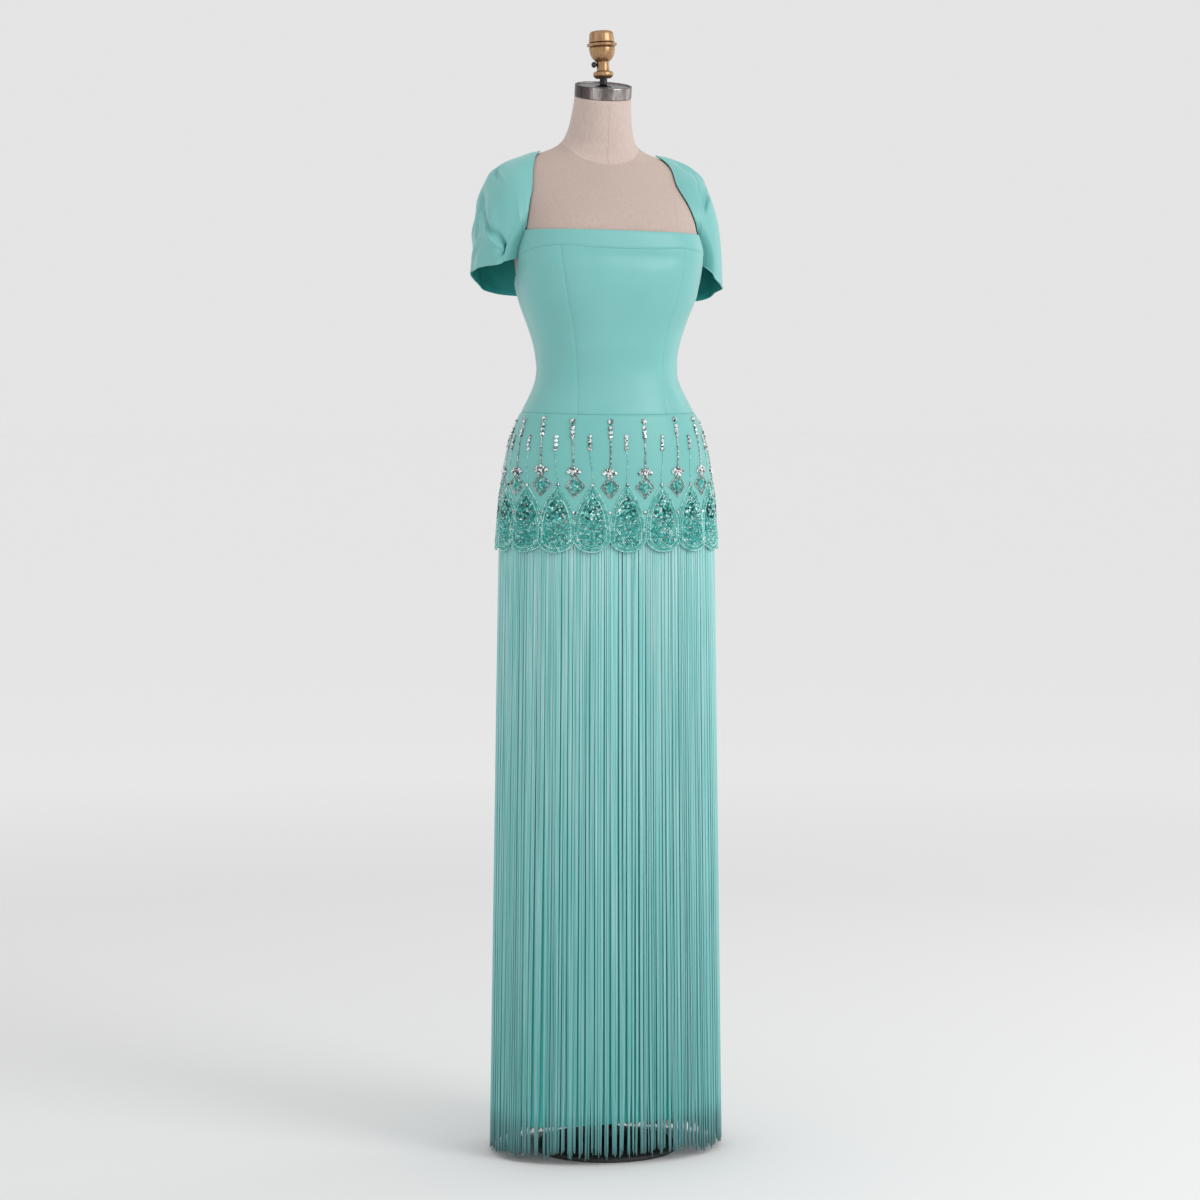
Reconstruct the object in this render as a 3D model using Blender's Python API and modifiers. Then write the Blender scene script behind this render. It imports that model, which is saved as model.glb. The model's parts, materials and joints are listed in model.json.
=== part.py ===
"""A beaded evening gown on its limbless dress form.

Metres, +Z up, the floor at z = 0 and the stand's axis at x = y = 0. The gown's front faces -Y. The
tables are in millimetres. A turn is an angle round the body in degrees: 0 at the centre front, 90 at
the +X side, 180 at the centre back.
"""

import math
import random
from bisect import bisect_right
from collections import namedtuple

import bmesh
import bpy
import numpy as np
from mathutils import Vector

MM = 0.001
SHARP_ANGLE = math.radians(40)

# What the cloth is made of, and how the layers lie over one another
EASE = 1.1 * MM  # between the form and the cloth on it
CLOTH = 1.5 * MM  # wall of the bodice, sleeves and slip
BAND_WALL = 2.2 * MM  # the neckline band is folded double
SEAM = 0.4 * MM  # between neighbouring pieces
CURVED_SEAM = 1.8 * MM  # between pieces whose facets meet on a curved edge
BODICE_OUT = EASE + CLOTH  # the bodice's outer face, from the form
BAND_OUT = EASE + BAND_WALL

# Heights of the gown
HIP_SEAM = 1152 * MM
BAND_TOP = 1431 * MM
BACK_BAND_TOP = 1440 * MM
BACK_BAND_LOW = 1414 * MM
ARMHOLE_BACK_TURN = 132.0
ARMHOLE_BACK_LOW = 1335 * MM
ZIP_HALF = 5.0 * MM

# The beaded peplum
SCALLOPS = 18
COLUMNS_A_SCALLOP = 6
PEPLUM_TOP = 1155 * MM
SCALLOP_LOW = 942 * MM
SCALLOP_RISE = 23 * MM  # from a scallop's lowest point to the notch beside it
SCALLOP_ROUND = 0.98  # how near its edge comes to upright at the notch
PEPLUM_LEVELS = (1.0, 0.85, 0.68, 0.52, 0.37, 0.2, 0.0)  # shares of the way up
PEPLUM_WALL = 1.6 * MM
PEPLUM_CLEARS = 1030 * MM  # from here down it hangs clear of the fringe's heading
PEPLUM_FLARE = 3.2 * MM
TEARDROP_TOP = 1048 * MM
TEARDROP_LOW = 950 * MM
TEARDROP_RAISED = 1.5 * MM
TEARDROP_HALF = 0.92  # of half a scallop, at its widest
TEARDROP_SWELL = 0.75  # how low its widest place lies
TEARDROP_CLOSE = 0.72  # how far it narrows again at the bottom

# The skirt
SLIP_TOP = HIP_SEAM - SEAM
SLIP_HEM = 59 * MM
SLIP_HEM_DIP = 6 * MM  # the hem is higher at the front and lower at the back
SLIP_COLUMNS = 36
SLIP_LEVELS = tuple(z * MM for z in (465, 930, 990, 1035, 1070, 1097, 1118, 1137))
FRINGE_TOP = 1004 * MM
FRINGE_HEADING = 12 * MM
FRINGE_WALL = 1.5 * MM
STRAND_DEPTH = 3.6 * MM
STRAND_FILL = 0.68  # of the way from one strand to the next
STRANDS_A_HALF = 76
STRAND_END_LOW = 6 * MM
STRAND_END_HIGH = 20 * MM
STRAND_OUT_AT_END = 3.4 * MM
STRAND_LEAN = 0.12  # of the way to the next strand, at most
FRINGE_GAP_TURN = 0.4  # between each half and the side seam
FRINGE_SEED = 18

# The form
TORSO_COLUMNS = 32
TORSO_LOW = 936 * MM
TORSO_FOOT = ((0, -14), (3, -5), (12, 0))  # height above its foot, and how far out, in millimetres
TORSO_LEVELS = (
    1020, 1070, 1110, 1140, 1164, 1183, 1199, 1214, 1230, 1248, 1272, 1300, 1330, 1362, 1395,
    1425, 1455, 1484, 1508, 1526, 1538, 1547, 1555, 1563, 1574, 1592, 1640,
)
NECK_TOP = TORSO_LEVELS[-1] * MM
NECK_TILT = 13.0
ROD_RADIUS = 6.2 * MM
FINIAL_LOW = 1671 * MM
FINIAL_LEAN = -3.0
POLE_RADIUS = 12.5 * MM
ROD_FOOT = 1.6 * MM  # the rod's foot clears the tilted disc's higher side
FINIAL_FOOT = 0.8 * MM  # and the leaning finial's foot clears the rod
KNOB_HEIGHT = 21 * MM  # of the thumb screw, above the finial's foot
FINIAL_STEM = 9.8 * MM

# How one shoulder of the form sits lower than the other
SHOULDER_DROP = 0.02
DROP_LOW = 1280 * MM
DROP_FULL = 1400 * MM
DROP_FADES = 1570 * MM
DROP_ENDS = 1610 * MM


def table(kind, not_lengths, rows):
    """Rows with named columns. The lengths are written in millimetres and kept in metres."""
    scales = [1 if column in not_lengths.split() else MM for column in kind._fields]
    return [kind(*(value * scale for value, scale in zip(row, scales))) for row in rows]


Section = namedtuple("Section", "z half_width front back square_front square_back centre tilt")

# The figure that the cloth lies on. Below the torso it is the line that the slip hangs along.
FIGURE = table(
    Section,
    "square_front square_back tilt",
    (
        (0, 178.0, 119.6, 132.0, 2.15, 2.15, 0, 0),
        (465, 170.9, 115.5, 129.0, 2.15, 2.15, 0, 0),
        (930, 163.8, 111.5, 126.0, 2.15, 2.15, 0, 0),
        (988, 163.0, 111.0, 125.6, 2.15, 2.15, 0, 0),
        (1019, 161.3, 110.3, 125.4, 2.15, 2.15, 0, 0),
        (1050, 158.8, 109.0, 124.6, 2.15, 2.15, 0, 0),
        (1081, 154.6, 107.0, 122.2, 2.15, 2.15, 0, 0),
        (1112, 148.0, 104.5, 118.0, 2.15, 2.15, 0, 0),
        (1128, 142.8, 102.5, 114.0, 2.15, 2.15, 0, 0),
        (1143, 137.2, 100.0, 108.5, 2.2, 2.15, 0, 0),
        (1159, 130.6, 97.0, 102.0, 2.2, 2.2, 0, 0),
        (1174, 122.6, 94.5, 96.5, 2.25, 2.2, 0, 0),
        (1190, 114.6, 92.3, 91.6, 2.3, 2.2, 0, 0),
        (1205, 109.0, 90.8, 88.0, 2.3, 2.2, 0, 0),
        (1221, 106.4, 90.2, 85.8, 2.3, 2.2, 0, 0),
        (1236, 106.9, 91.2, 85.8, 2.3, 2.25, 0, 0),
        (1252, 109.0, 93.6, 87.0, 2.35, 2.3, 0, 0),
        (1267, 112.5, 95.0, 91.5, 2.4, 2.3, 0, 0),
        (1283, 117.2, 98.2, 96.0, 2.4, 2.35, 0, 0),
        (1298, 122.3, 102.2, 99.5, 2.45, 2.4, 0, 0),
        (1317, 129.6, 108.0, 103.0, 2.5, 2.4, 0, 0),
        (1345, 137.6, 114.4, 106.5, 2.55, 2.45, 0, 0),
        (1375, 142.2, 115.8, 108.5, 2.75, 2.5, 0, 0),
        (1403, 143.0, 113.0, 109.6, 3.0, 2.6, 0, 0),
        (1431, 137.4, 108.6, 110.0, 2.9, 2.6, 0, 0),
        (1460, 138.6, 104.6, 102.0, 2.3, 2.5, 8, 0),
        (1485, 145.0, 98.0, 90.0, 1.9, 2.4, 22, 0),
        (1507, 150.5, 92.0, 72.0, 1.65, 2.3, 40, 0),
        (1520, 150.5, 84.0, 62.0, 1.6, 2.2, 47, 0),
        (1530, 145.0, 76.0, 56.0, 1.6, 2.1, 50, 0),
        (1538, 135.0, 69.0, 52.0, 1.6, 2.0, 51, 0),
        (1546, 119.0, 63.5, 49.0, 1.6, 2.0, 51, 2),
        (1554, 98.0, 60.0, 48.0, 1.65, 2.0, 50, 4),
        (1561, 78.0, 57.0, 48.0, 1.8, 2.0, 47, 6),
        (1568, 64.5, 54.5, 48.0, 2.0, 2.0, 44, 8),
        (1578, 55.8, 52.0, 49.0, 2.0, 2.0, 40, 10),
        (1596, 49.6, 49.0, 48.0, 2.0, 2.0, 33, 12),
        (1622, 45.6, 45.6, 45.6, 2.0, 2.0, 25, 13),
        (1640, 43.9, 43.9, 43.9, 2.0, 2.0, 20, 13),
    ),
)

# How far the hips and the skirt sit to the +X side
SwayRow = namedtuple("SwayRow", "z x")
SWAY = table(
    SwayRow,
    "",
    (
        (0, 0.6), (465, 1.2), (930, 1.8), (992, 1.9), (1053, 2.6),
        (1112, 2.7), (1150, 2.6), (1174, 1.9), (1204, 0.9), (1240, 0),
    ),
)

# Turn of the front princess seam
PrincessRow = namedtuple("PrincessRow", "z turn")
PRINCESS = table(PrincessRow, "turn", ((1150, 30.4), (1190, 34.0), (1221, 36.4), (1290, 36.0), (1410, 37.4)))

# Lower edge of the front band, which is the top edge of the front panels, and the armhole after it
EdgeRow = namedtuple("EdgeRow", "turn z")
FRONT_EDGE = table(
    EdgeRow,
    "turn",
    ((0, 1403.5), (20, 1404.5), (37.4, 1407), (60, 1400), (79.6, 1389), (85, 1372), (90.5, 1360)),
)
SIDE_BACK_EDGE = table(EdgeRow, "turn", ((89.5, 1360), (97, 1347), (108, 1334), (120, 1326), (133, 1326)))
SIDE_SEAM_TURN = 90.0
BAND_END_TOP_TURN = 71.0
BAND_END_LOW_TURN = 79.6

# Ribs of the cap sleeves, from front to back, as for the +X side. Each starts on the neckline, at a
# height and a turn on the figure, and hangs along a curve through the shoulder and arm points to the
# hem. The left sleeve, at +X, hangs a little closer in than the right one.
Rib = namedtuple(
    "Rib", "way neck_z neck_turn shoulder_x shoulder_y shoulder_z arm_x arm_y arm_z hem_x hem_y hem_z"
)
SLEEVE_RIBS = {
    "left": table(
        Rib,
        "way neck_turn",
        (
            (0.17, 1462, 61.0, 150, -46, 1456, 170, -47, 1418, 166, -33, 1369),
            (0.34, 1507, 51.0, 158, -20, 1522, 190, -27, 1464, 184, -12, 1357),
            (0.43, 1538, 58.0, 168, 21, 1549, 198, 6, 1500, 193, 6, 1354),
            (0.51, 1556, 86.0, 176, 60, 1561, 203, 44, 1516, 199, 24, 1352),
            (0.67, 1532, 118.0, 163, 96, 1533, 199, 90, 1453, 195, 62, 1346),
            (0.84, 1482, 130.0, 149, 110, 1471, 174, 110, 1405, 174, 85, 1333),
        ),
    ),
    "right": table(
        Rib,
        "way neck_turn",
        (
            (0.17, 1462, 66.0, 150, -46, 1456, 170, -47, 1418, 172, -32, 1379),
            (0.34, 1507, 57.0, 158, -20, 1517, 192, -27, 1462, 197, -8, 1375),
            (0.43, 1538, 60.0, 168, 22, 1540, 198, 9, 1497, 207, 11, 1371),
            (0.51, 1556, 91.0, 174, 60, 1549, 200, 44, 1515, 211, 30, 1367),
            (0.67, 1532, 118.0, 162, 96, 1528, 197, 91, 1452, 185, 72, 1351),
            (0.84, 1482, 130.0, 148, 110, 1470, 171, 111, 1405, 154, 91, 1339),
        ),
    ),
}
SLEEVE_COLUMNS = 18
SLEEVE_ROWS = 8

# Soft pleats of the sleeve: where each runs along the sleeve's way and down it, and how far it stands out
Pleat = namedtuple("Pleat", "way_top way_low start end width height")
PLEATS = table(
    Pleat,
    "way_top way_low start end width",
    (
        (0.50, 0.22, 0.35, 1.05, 0.055, 4.5),
        (0.56, 0.40, 0.45, 1.05, 0.050, 3.5),
        (0.66, 0.74, 0.40, 1.05, 0.055, 3.5),
    ),
)
PLEAT_FADE = 0.25  # share of the way down over which a pleat rises

# Turned profiles, each from the top down: radius and height
FINIAL_PROFILE = (
    (0, 73), (14, 72.6), (18.4, 69.5), (19.2, 63), (20, 54.5), (23.4, 53.5), (23.4, 49),
    (20, 47.5), (19.6, 42), (18, 35.5), (15, 29.5), (12, 26), (9.8, 25), (9.8, 11.2), (14.6, 10), (15.8, 6.5),
    (15.4, 2.6), (12, 0), (0, 0),
)
CAP_PROFILE = (
    (0, 19.6), (40.8, 19.6), (41.4, 21.5), (43.8, 21.5), (44.3, 20.9), (44.3, 0.6), (43.7, 0), (0, 0),
)
BASE_PROFILE = (
    (0, 34), (18.5, 34), (20, 32), (20, 20), (26.5, 17), (98, 11), (109, 8), (112, 4), (112, 0), (0, 0),
)
KNOB_PROFILE = ((0, 10), (2.4, 9.4), (4.2, 7.6), (4.5, 5.4), (3.6, 3.2), (1.8, 2.1), (1.8, 0), (0, 0))


def smooth_row(rows, place):
    """The row at this place in the table's first column, on a smooth curve through all of its rows."""
    places = [row[0] for row in rows]
    place = min(max(place, places[0]), places[-1])
    last = len(rows) - 1
    index = min(max(bisect_right(places, place) - 1, 0), last - 1)
    span = places[index + 1] - places[index]
    t = (place - places[index]) / span

    def slope(at, column):
        before, after = max(at - 1, 0), min(at + 1, last)
        return (rows[after][column] - rows[before][column]) / (places[after] - places[before])

    values = [place]
    for column in range(1, len(rows[0])):
        start, end = rows[index][column], rows[index + 1][column]
        rise, fall = slope(index, column) * span, slope(index + 1, column) * span
        values.append(
            start * (2 * t**3 - 3 * t**2 + 1)
            + rise * (t**3 - 2 * t**2 + t)
            + end * (3 * t**2 - 2 * t**3)
            + fall * (t**3 - t**2)
        )
    return type(rows[0])(*values)


def ramp(value, start, end):
    """0 before start, 1 after end, and smooth between."""
    t = min(max((value - start) / (end - start), 0.0), 1.0)
    return t * t * (3 - 2 * t)


def figure_point(z, turn, out=0.0):
    """The point of the figure at this height and turn, moved out by a layer's depth."""
    section = smooth_row(FIGURE, z)
    across = math.sin(math.radians(turn))
    along = math.cos(math.radians(turn))
    depth, power = section.back, section.square_back
    if along >= 0:
        depth, power = section.front, section.square_front
    reach = (abs(across) ** power + abs(along) ** power) ** (-1 / power)
    x = (section.half_width + out) * reach * across + smooth_row(SWAY, z).x
    y = -(depth + out) * reach * along
    return Vector((x, section.centre + y, z + y * math.tan(math.radians(section.tilt))))


def settled(point):
    """The point as it sits on the form, whose +X shoulder is a little lower."""
    x, y, z = point
    drop = SHOULDER_DROP * ramp(z, DROP_LOW, DROP_FULL) * (1 - ramp(z, DROP_FADES, DROP_ENDS))
    return Vector((x, y, z - drop * x))


def lifted_point(z, turn, out):
    """The figure's point moved out square to its surface, for cloth on the sloping shoulders."""
    step = 2 * MM
    up = figure_point(z + step, turn) - figure_point(z - step, turn)
    across = figure_point(z, turn + 1) - figure_point(z, turn - 1)
    return figure_point(z, turn) + across.cross(up).normalized() * out


def turn_for(z, turn, distance):
    """The turn that is this distance further round the figure."""
    step = 0.5
    length = (figure_point(z, turn + step) - figure_point(z, turn - step)).length
    return turn + distance * 2 * step / length


def even_turns(z, start, end, count):
    """Turns that part the way round the figure into equal lengths."""
    turns = np.linspace(start, end, 721)
    points = np.array([figure_point(z, turn) for turn in turns])
    lengths = np.concatenate([[0.0], np.cumsum(np.linalg.norm(np.diff(points, axis=0), axis=1))])
    return np.interp(np.linspace(0, lengths[-1], count), lengths, turns)


def principled(name, colour, roughness, metallic=0.0):
    material = bpy.data.materials.new(name)
    material.use_nodes = True
    shader = material.node_tree.nodes["Principled BSDF"]
    shader.inputs["Base Color"].default_value = (*colour, 1.0)
    shader.inputs["Roughness"].default_value = roughness
    shader.inputs["Metallic"].default_value = metallic
    return material


def add_object(name, mesh, material, collection):
    made = bpy.data.objects.new(name, mesh)
    mesh.materials.append(material)
    collection.objects.link(made)
    mesh.shade_smooth()
    mesh.set_sharp_from_angle(angle=SHARP_ANGLE)
    return made


def sheet(name, columns, rows, place, wall, material, collection, round_tube=False):
    """A cloth panel: a grid bent to place(u, v), u running round the body and v up, with its wall inside."""
    work = bmesh.new()
    bmesh.ops.create_grid(work, x_segments=columns, y_segments=rows, size=0.5)
    for vert in work.verts:
        u = round((vert.co.x + 0.5) * columns) / columns
        v = round((vert.co.y + 0.5) * rows) / rows
        vert.co = settled(place(u, v))
    if round_tube:
        bmesh.ops.remove_doubles(work, verts=work.verts, dist=0.01 * MM)
    mesh = bpy.data.meshes.new(name)
    work.to_mesh(mesh)
    work.free()
    made = add_object(name, mesh, material, collection)
    shell = made.modifiers.new("wall", "SOLIDIFY")
    shell.thickness = wall
    shell.offset = -1.0
    return made


def by_hand(name, points, faces, material, collection):
    """A closed body from points and faces, for lofts between unlike outlines."""
    mesh = bpy.data.meshes.new(name)
    mesh.from_pydata([settled(point) for point in points], [], faces)
    work = bmesh.new()
    work.from_mesh(mesh)
    bmesh.ops.recalc_face_normals(work, faces=work.faces)
    work.to_mesh(mesh)
    work.free()
    return add_object(name, mesh, material, collection)


def turned(name, profile, steps, material, collection):
    """A profile in millimetres, top first, turned round its own Z axis."""
    mesh = bpy.data.meshes.new(name)
    points = [(radius * MM, 0.0, height * MM) for radius, height in profile]
    mesh.from_pydata(points, [(k, k + 1) for k in range(len(points) - 1)], [])
    made = add_object(name, mesh, material, collection)
    spin = made.modifiers.new("turn", "SCREW")
    spin.steps = steps
    spin.render_steps = steps
    spin.use_merge_vertices = True
    spin.merge_threshold = 0.01 * MM
    return made


# The bodice and its band


def princess_turn(z):
    return smooth_row(PRINCESS, z).turn


def front_edge(turn):
    """Height of the front panels' top edge at this turn."""
    return smooth_row(FRONT_EDGE, abs(turn)).z


def zip_turn(z):
    """Turn at which the back panels end beside the zip."""
    return 180 - math.degrees(math.asin(ZIP_HALF / smooth_row(FIGURE, z).half_width))


def panel_place(edge_from, edge_to, low, top, side=1):
    """place(u, v) of a panel between two seams, given as turns by height, and up to top(turn)."""

    def place(u, v):
        guess = edge_from(HIP_SEAM) + (edge_to(HIP_SEAM) - edge_from(HIP_SEAM)) * u
        z = low + (top(guess) - low) * v
        for _ in range(3):
            start = turn_for(z, edge_from(z), SEAM / 2)
            end = turn_for(z, edge_to(z), -SEAM / 2)
            turn = start + (end - start) * u
            z = low + (top(turn) - low) * v
        return figure_point(z, side * turn, BODICE_OUT)

    if side > 0:
        return place
    return lambda u, v: place(1 - u, v)


def build_bodice(satin, collection):
    low = HIP_SEAM + SEAM / 2

    def panel_top(turn):
        return front_edge(turn) - CURVED_SEAM

    def centre_front(u, v):
        share = 2 * u - 1
        z = low + (panel_top(share * PRINCESS[-1].turn) - low) * v
        turn = turn_for(z, princess_turn(z), -SEAM / 2) * share
        return figure_point(z, turn, BODICE_OUT)

    sheet("bodice_centre_front", 10, 14, centre_front, CLOTH, satin, collection)
    for side, word in ((1, "left"), (-1, "right")):
        place = panel_place(princess_turn, lambda z: SIDE_SEAM_TURN, low, panel_top, side)
        sheet(f"bodice_side_front_{word}", 8, 14, place, CLOTH, satin, collection)
        place = panel_place(
            lambda z: SIDE_SEAM_TURN,
            lambda z: ARMHOLE_BACK_TURN,
            low,
            lambda turn: smooth_row(SIDE_BACK_EDGE, turn).z,
            side,
        )
        sheet(f"bodice_side_back_{word}", 6, 12, place, CLOTH, satin, collection)
        place = panel_place(
            lambda z: ARMHOLE_BACK_TURN, zip_turn, low, lambda turn: BACK_BAND_LOW - SEAM, side
        )
        sheet(f"bodice_centre_back_{word}", 6, 15, place, CLOTH, satin, collection)


def band_end_turn(v):
    """Turn of the front band's slanting end, from its lower edge to its upper one."""
    return BAND_END_LOW_TURN + (BAND_END_TOP_TURN - BAND_END_LOW_TURN) * v


def build_bands(satin, collection):
    def front_band(u, v):
        turn = (2 * u - 1) * band_end_turn(v)
        low = front_edge(turn)
        return figure_point(low + (BAND_TOP - low) * v, turn, BAND_OUT)

    sheet("neckline_band_front", 26, 2, front_band, BAND_WALL, satin, collection)
    for side, word in ((1, "left"), (-1, "right")):

        def back_band(u, v, side=side):
            z = BACK_BAND_LOW + (BACK_BAND_TOP - BACK_BAND_LOW) * v
            start = turn_for(z, ARMHOLE_BACK_TURN, SEAM)
            end = turn_for(z, zip_turn(z), -SEAM / 2)
            share = u if side > 0 else 1 - u
            return figure_point(z, side * (start + (end - start) * share), BAND_OUT)

        sheet(f"neckline_band_back_{word}", 6, 2, back_band, BAND_WALL, satin, collection)


# The cap sleeves


def front_seam(v):
    """The sleeve's front edge, beside the band's slanting end."""
    low = front_edge(BAND_END_LOW_TURN)
    z = BAND_TOP + (low - BAND_TOP) * v
    return figure_point(z, turn_for(z, band_end_turn(1 - v), CURVED_SEAM), BODICE_OUT)


def back_seam(v):
    """The sleeve's back edge, beside the back band and the centre back panel."""
    z = BACK_BAND_TOP + (ARMHOLE_BACK_LOW - BACK_BAND_TOP) * v
    return figure_point(z, turn_for(z, ARMHOLE_BACK_TURN, -CURVED_SEAM), BODICE_OUT)


def seam_rib(way, seam, neck_z, neck_turn):
    """A rib that follows one of the sleeve's two seams."""
    return Rib(way, neck_z, neck_turn, *seam(1 / 3), *seam(2 / 3), *seam(1))


def sleeve_ribs(word):
    """All ribs of a sleeve, with one along each seam."""
    front_turn = turn_for(BAND_TOP, BAND_END_TOP_TURN, CURVED_SEAM)
    back_turn = turn_for(BACK_BAND_TOP, ARMHOLE_BACK_TURN, -CURVED_SEAM)
    front_rib = seam_rib(0.0, front_seam, BAND_TOP, front_turn)
    back_rib = seam_rib(1.0, back_seam, BACK_BAND_TOP, back_turn)
    return [front_rib, *SLEEVE_RIBS[word], back_rib]


def sleeve_smooth(ribs, u, v):
    """A sleeve at the +X side without its pleats, u from front to back and v from neckline to hem."""
    row = smooth_row(ribs, u)
    neck = lifted_point(row.neck_z, row.neck_turn, BODICE_OUT)
    shoulder, arm, hem = (Vector(row[at : at + 3]) for at in (3, 6, 9))
    stay = 1 - v
    return neck * stay**3 + shoulder * (3 * stay * stay * v) + arm * (3 * stay * v * v) + hem * v**3


def pleat_height(u, v):
    """How far the pleats lift the sleeve here."""
    lift = 0.0
    for pleat in PLEATS:
        way = pleat.way_top + (pleat.way_low - pleat.way_top) * ramp(v, pleat.start, pleat.end)
        along = ramp(v, pleat.start, pleat.start + PLEAT_FADE)
        lift += pleat.height * along * math.exp(-(((u - way) / pleat.width) ** 2))
    return lift


def sleeve_place(side, word):
    ribs = sleeve_ribs(word)

    def place(u, v):
        # The grid runs up the cloth, and the ribs run down it
        way, down = (u, 1 - v) if side > 0 else (1 - u, 1 - v)
        step = 0.01
        point = sleeve_smooth(ribs, way, down)
        across = sleeve_smooth(ribs, min(way + step, 1), down) - sleeve_smooth(ribs, max(way - step, 0), down)
        fall = sleeve_smooth(ribs, way, min(down + step, 1)) - sleeve_smooth(ribs, way, max(down - step, 0))
        point += fall.cross(across).normalized() * pleat_height(way, down)
        return Vector((side * point.x, point.y, point.z))

    return place


def build_sleeves(satin, collection):
    for side, word in ((1, "left"), (-1, "right")):
        place = sleeve_place(side, word)
        sheet(f"sleeve_{word}", SLEEVE_COLUMNS, SLEEVE_ROWS, place, CLOTH, satin, collection)


# The beaded peplum


def scallop_share(turn):
    """0 at a scallop's middle and 1 at the notch on either side of it."""
    share = (turn % (360 / SCALLOPS)) / (360 / SCALLOPS) * 2
    return share if share <= 1 else 2 - share


def peplum_low(turn):
    """Height of the scalloped edge."""
    share = scallop_share(turn)
    return SCALLOP_LOW + SCALLOP_RISE * (1 - math.sqrt(1 - SCALLOP_ROUND * share * share))


def peplum_out(z):
    """How far the peplum's inner face stands off the figure."""
    over_heading = FRINGE_WALL + SEAM
    return (
        BODICE_OUT
        + SEAM
        + over_heading * ramp(-z, -PEPLUM_TOP, -PEPLUM_CLEARS)
        + PEPLUM_FLARE * ramp(-z, -PEPLUM_CLEARS, -SCALLOP_LOW) ** 2
    )


def teardrop(z, turn):
    """Height of the raised teardrop on its scallop."""
    share = scallop_share(turn)
    down = (TEARDROP_TOP - z) / (TEARDROP_TOP - TEARDROP_LOW)
    if down <= 0:
        return 0.0
    half = TEARDROP_HALF * math.sin(math.pi * min(down, 1.0) ** TEARDROP_SWELL * TEARDROP_CLOSE)
    return TEARDROP_RAISED * (1 - ramp(share, half - 0.25, half + 0.12)) * ramp(down, 0, 0.12)


def build_peplum(beaded, collection):
    columns = SCALLOPS * COLUMNS_A_SCALLOP
    first = turn_for(FRINGE_TOP, -180, SEAM / 2)
    outer, inner = [], []
    for level in PEPLUM_LEVELS:
        for column in range(columns + 1):
            turn = first + (-2 * first) * column / columns
            low = peplum_low(turn)
            z = low + (PEPLUM_TOP - low) * level
            out = peplum_out(z)
            inner.append(figure_point(z, turn, out))
            outer.append(figure_point(z, turn, out + PEPLUM_WALL + teardrop(z, turn)))
    wide = columns + 1
    total = wide * len(PEPLUM_LEVELS)
    faces = []
    for row in range(len(PEPLUM_LEVELS) - 1):
        for column in range(columns):
            a = row * wide + column
            faces.append((a, a + wide, a + wide + 1, a + 1))
            faces.append((total + a, total + a + 1, total + a + wide + 1, total + a + wide))
        for a in (row * wide, row * wide + columns):
            faces.append((a, a + wide, total + a + wide, total + a))
    for start in (0, total - wide):
        for a in range(start, start + columns):
            faces.append((a, a + 1, total + a + 1, total + a))
    by_hand("beaded_peplum", outer + inner, faces, beaded, collection)


# The skirt


def build_slip(satin, collection):
    def place(u, v):
        turn = 360 * u - 180
        hem = SLIP_HEM + SLIP_HEM_DIP * math.cos(math.radians(turn))
        levels = [hem, *SLIP_LEVELS, SLIP_TOP]
        return figure_point(levels[round(v * (len(levels) - 1))], turn, BODICE_OUT)

    sheet("slip_skirt", SLIP_COLUMNS, len(SLIP_LEVELS) + 1, place, CLOTH, satin, collection, round_tube=True)


def build_fringe(thread, collection):
    chance = random.Random(FRINGE_SEED)
    inner_out = BODICE_OUT + SEAM
    heading_low = FRINGE_TOP - FRINGE_HEADING
    for word, middle in (("front", 0), ("back", 180)):
        start, end = middle - 90 + FRINGE_GAP_TURN, middle + 90 - FRINGE_GAP_TURN
        turns = even_turns(heading_low, start, end, STRANDS_A_HALF + 1)
        points, faces = [], []

        def column(turn):
            """Four points of the heading: outer top, outer low, inner low, inner top."""
            for z, out in (
                (FRINGE_TOP, inner_out + FRINGE_WALL),
                (heading_low, inner_out + FRINGE_WALL),
                (heading_low, inner_out),
                (FRINGE_TOP, inner_out),
            ):
                points.append(figure_point(z, turn, out))
            return len(points) - 4

        before = None
        for strand in range(STRANDS_A_HALF):
            pitch = turns[strand + 1] - turns[strand]
            edges = (
                turns[strand] + pitch * (1 - STRAND_FILL) / 2,
                turns[strand + 1] - pitch * (1 - STRAND_FILL) / 2,
            )
            a, b = column(edges[0]), column(edges[1])
            if before is None:
                faces.append((a, a + 1, a + 2, a + 3))
            else:
                for k in range(4):
                    faces.append((before + k, before + (k + 1) % 4, a + (k + 1) % 4, a + k))
            for k in (0, 2, 3):
                faces.append((a + k, a + (k + 1) % 4, b + (k + 1) % 4, b + k))
            end_z = chance.uniform(STRAND_END_LOW, STRAND_END_HIGH)
            lean = pitch * chance.uniform(-STRAND_LEAN, STRAND_LEAN)
            tip = len(points)
            for turn, out in (
                (edges[0], STRAND_DEPTH),
                (edges[0], 0),
                (edges[1], 0),
                (edges[1], STRAND_DEPTH),
            ):
                points.append(figure_point(end_z, turn + lean, STRAND_OUT_AT_END + out))
            root = (a + 1, a + 2, b + 2, b + 1)
            for k in range(4):
                faces.append((root[k], root[(k + 1) % 4], tip + (k + 1) % 4, tip + k))
            faces.append((tip, tip + 1, tip + 2, tip + 3))
            before = b
        faces.append((before, before + 1, before + 2, before + 3))
        by_hand(f"fringe_{word}", points, faces, thread, collection)


# The zip


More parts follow.
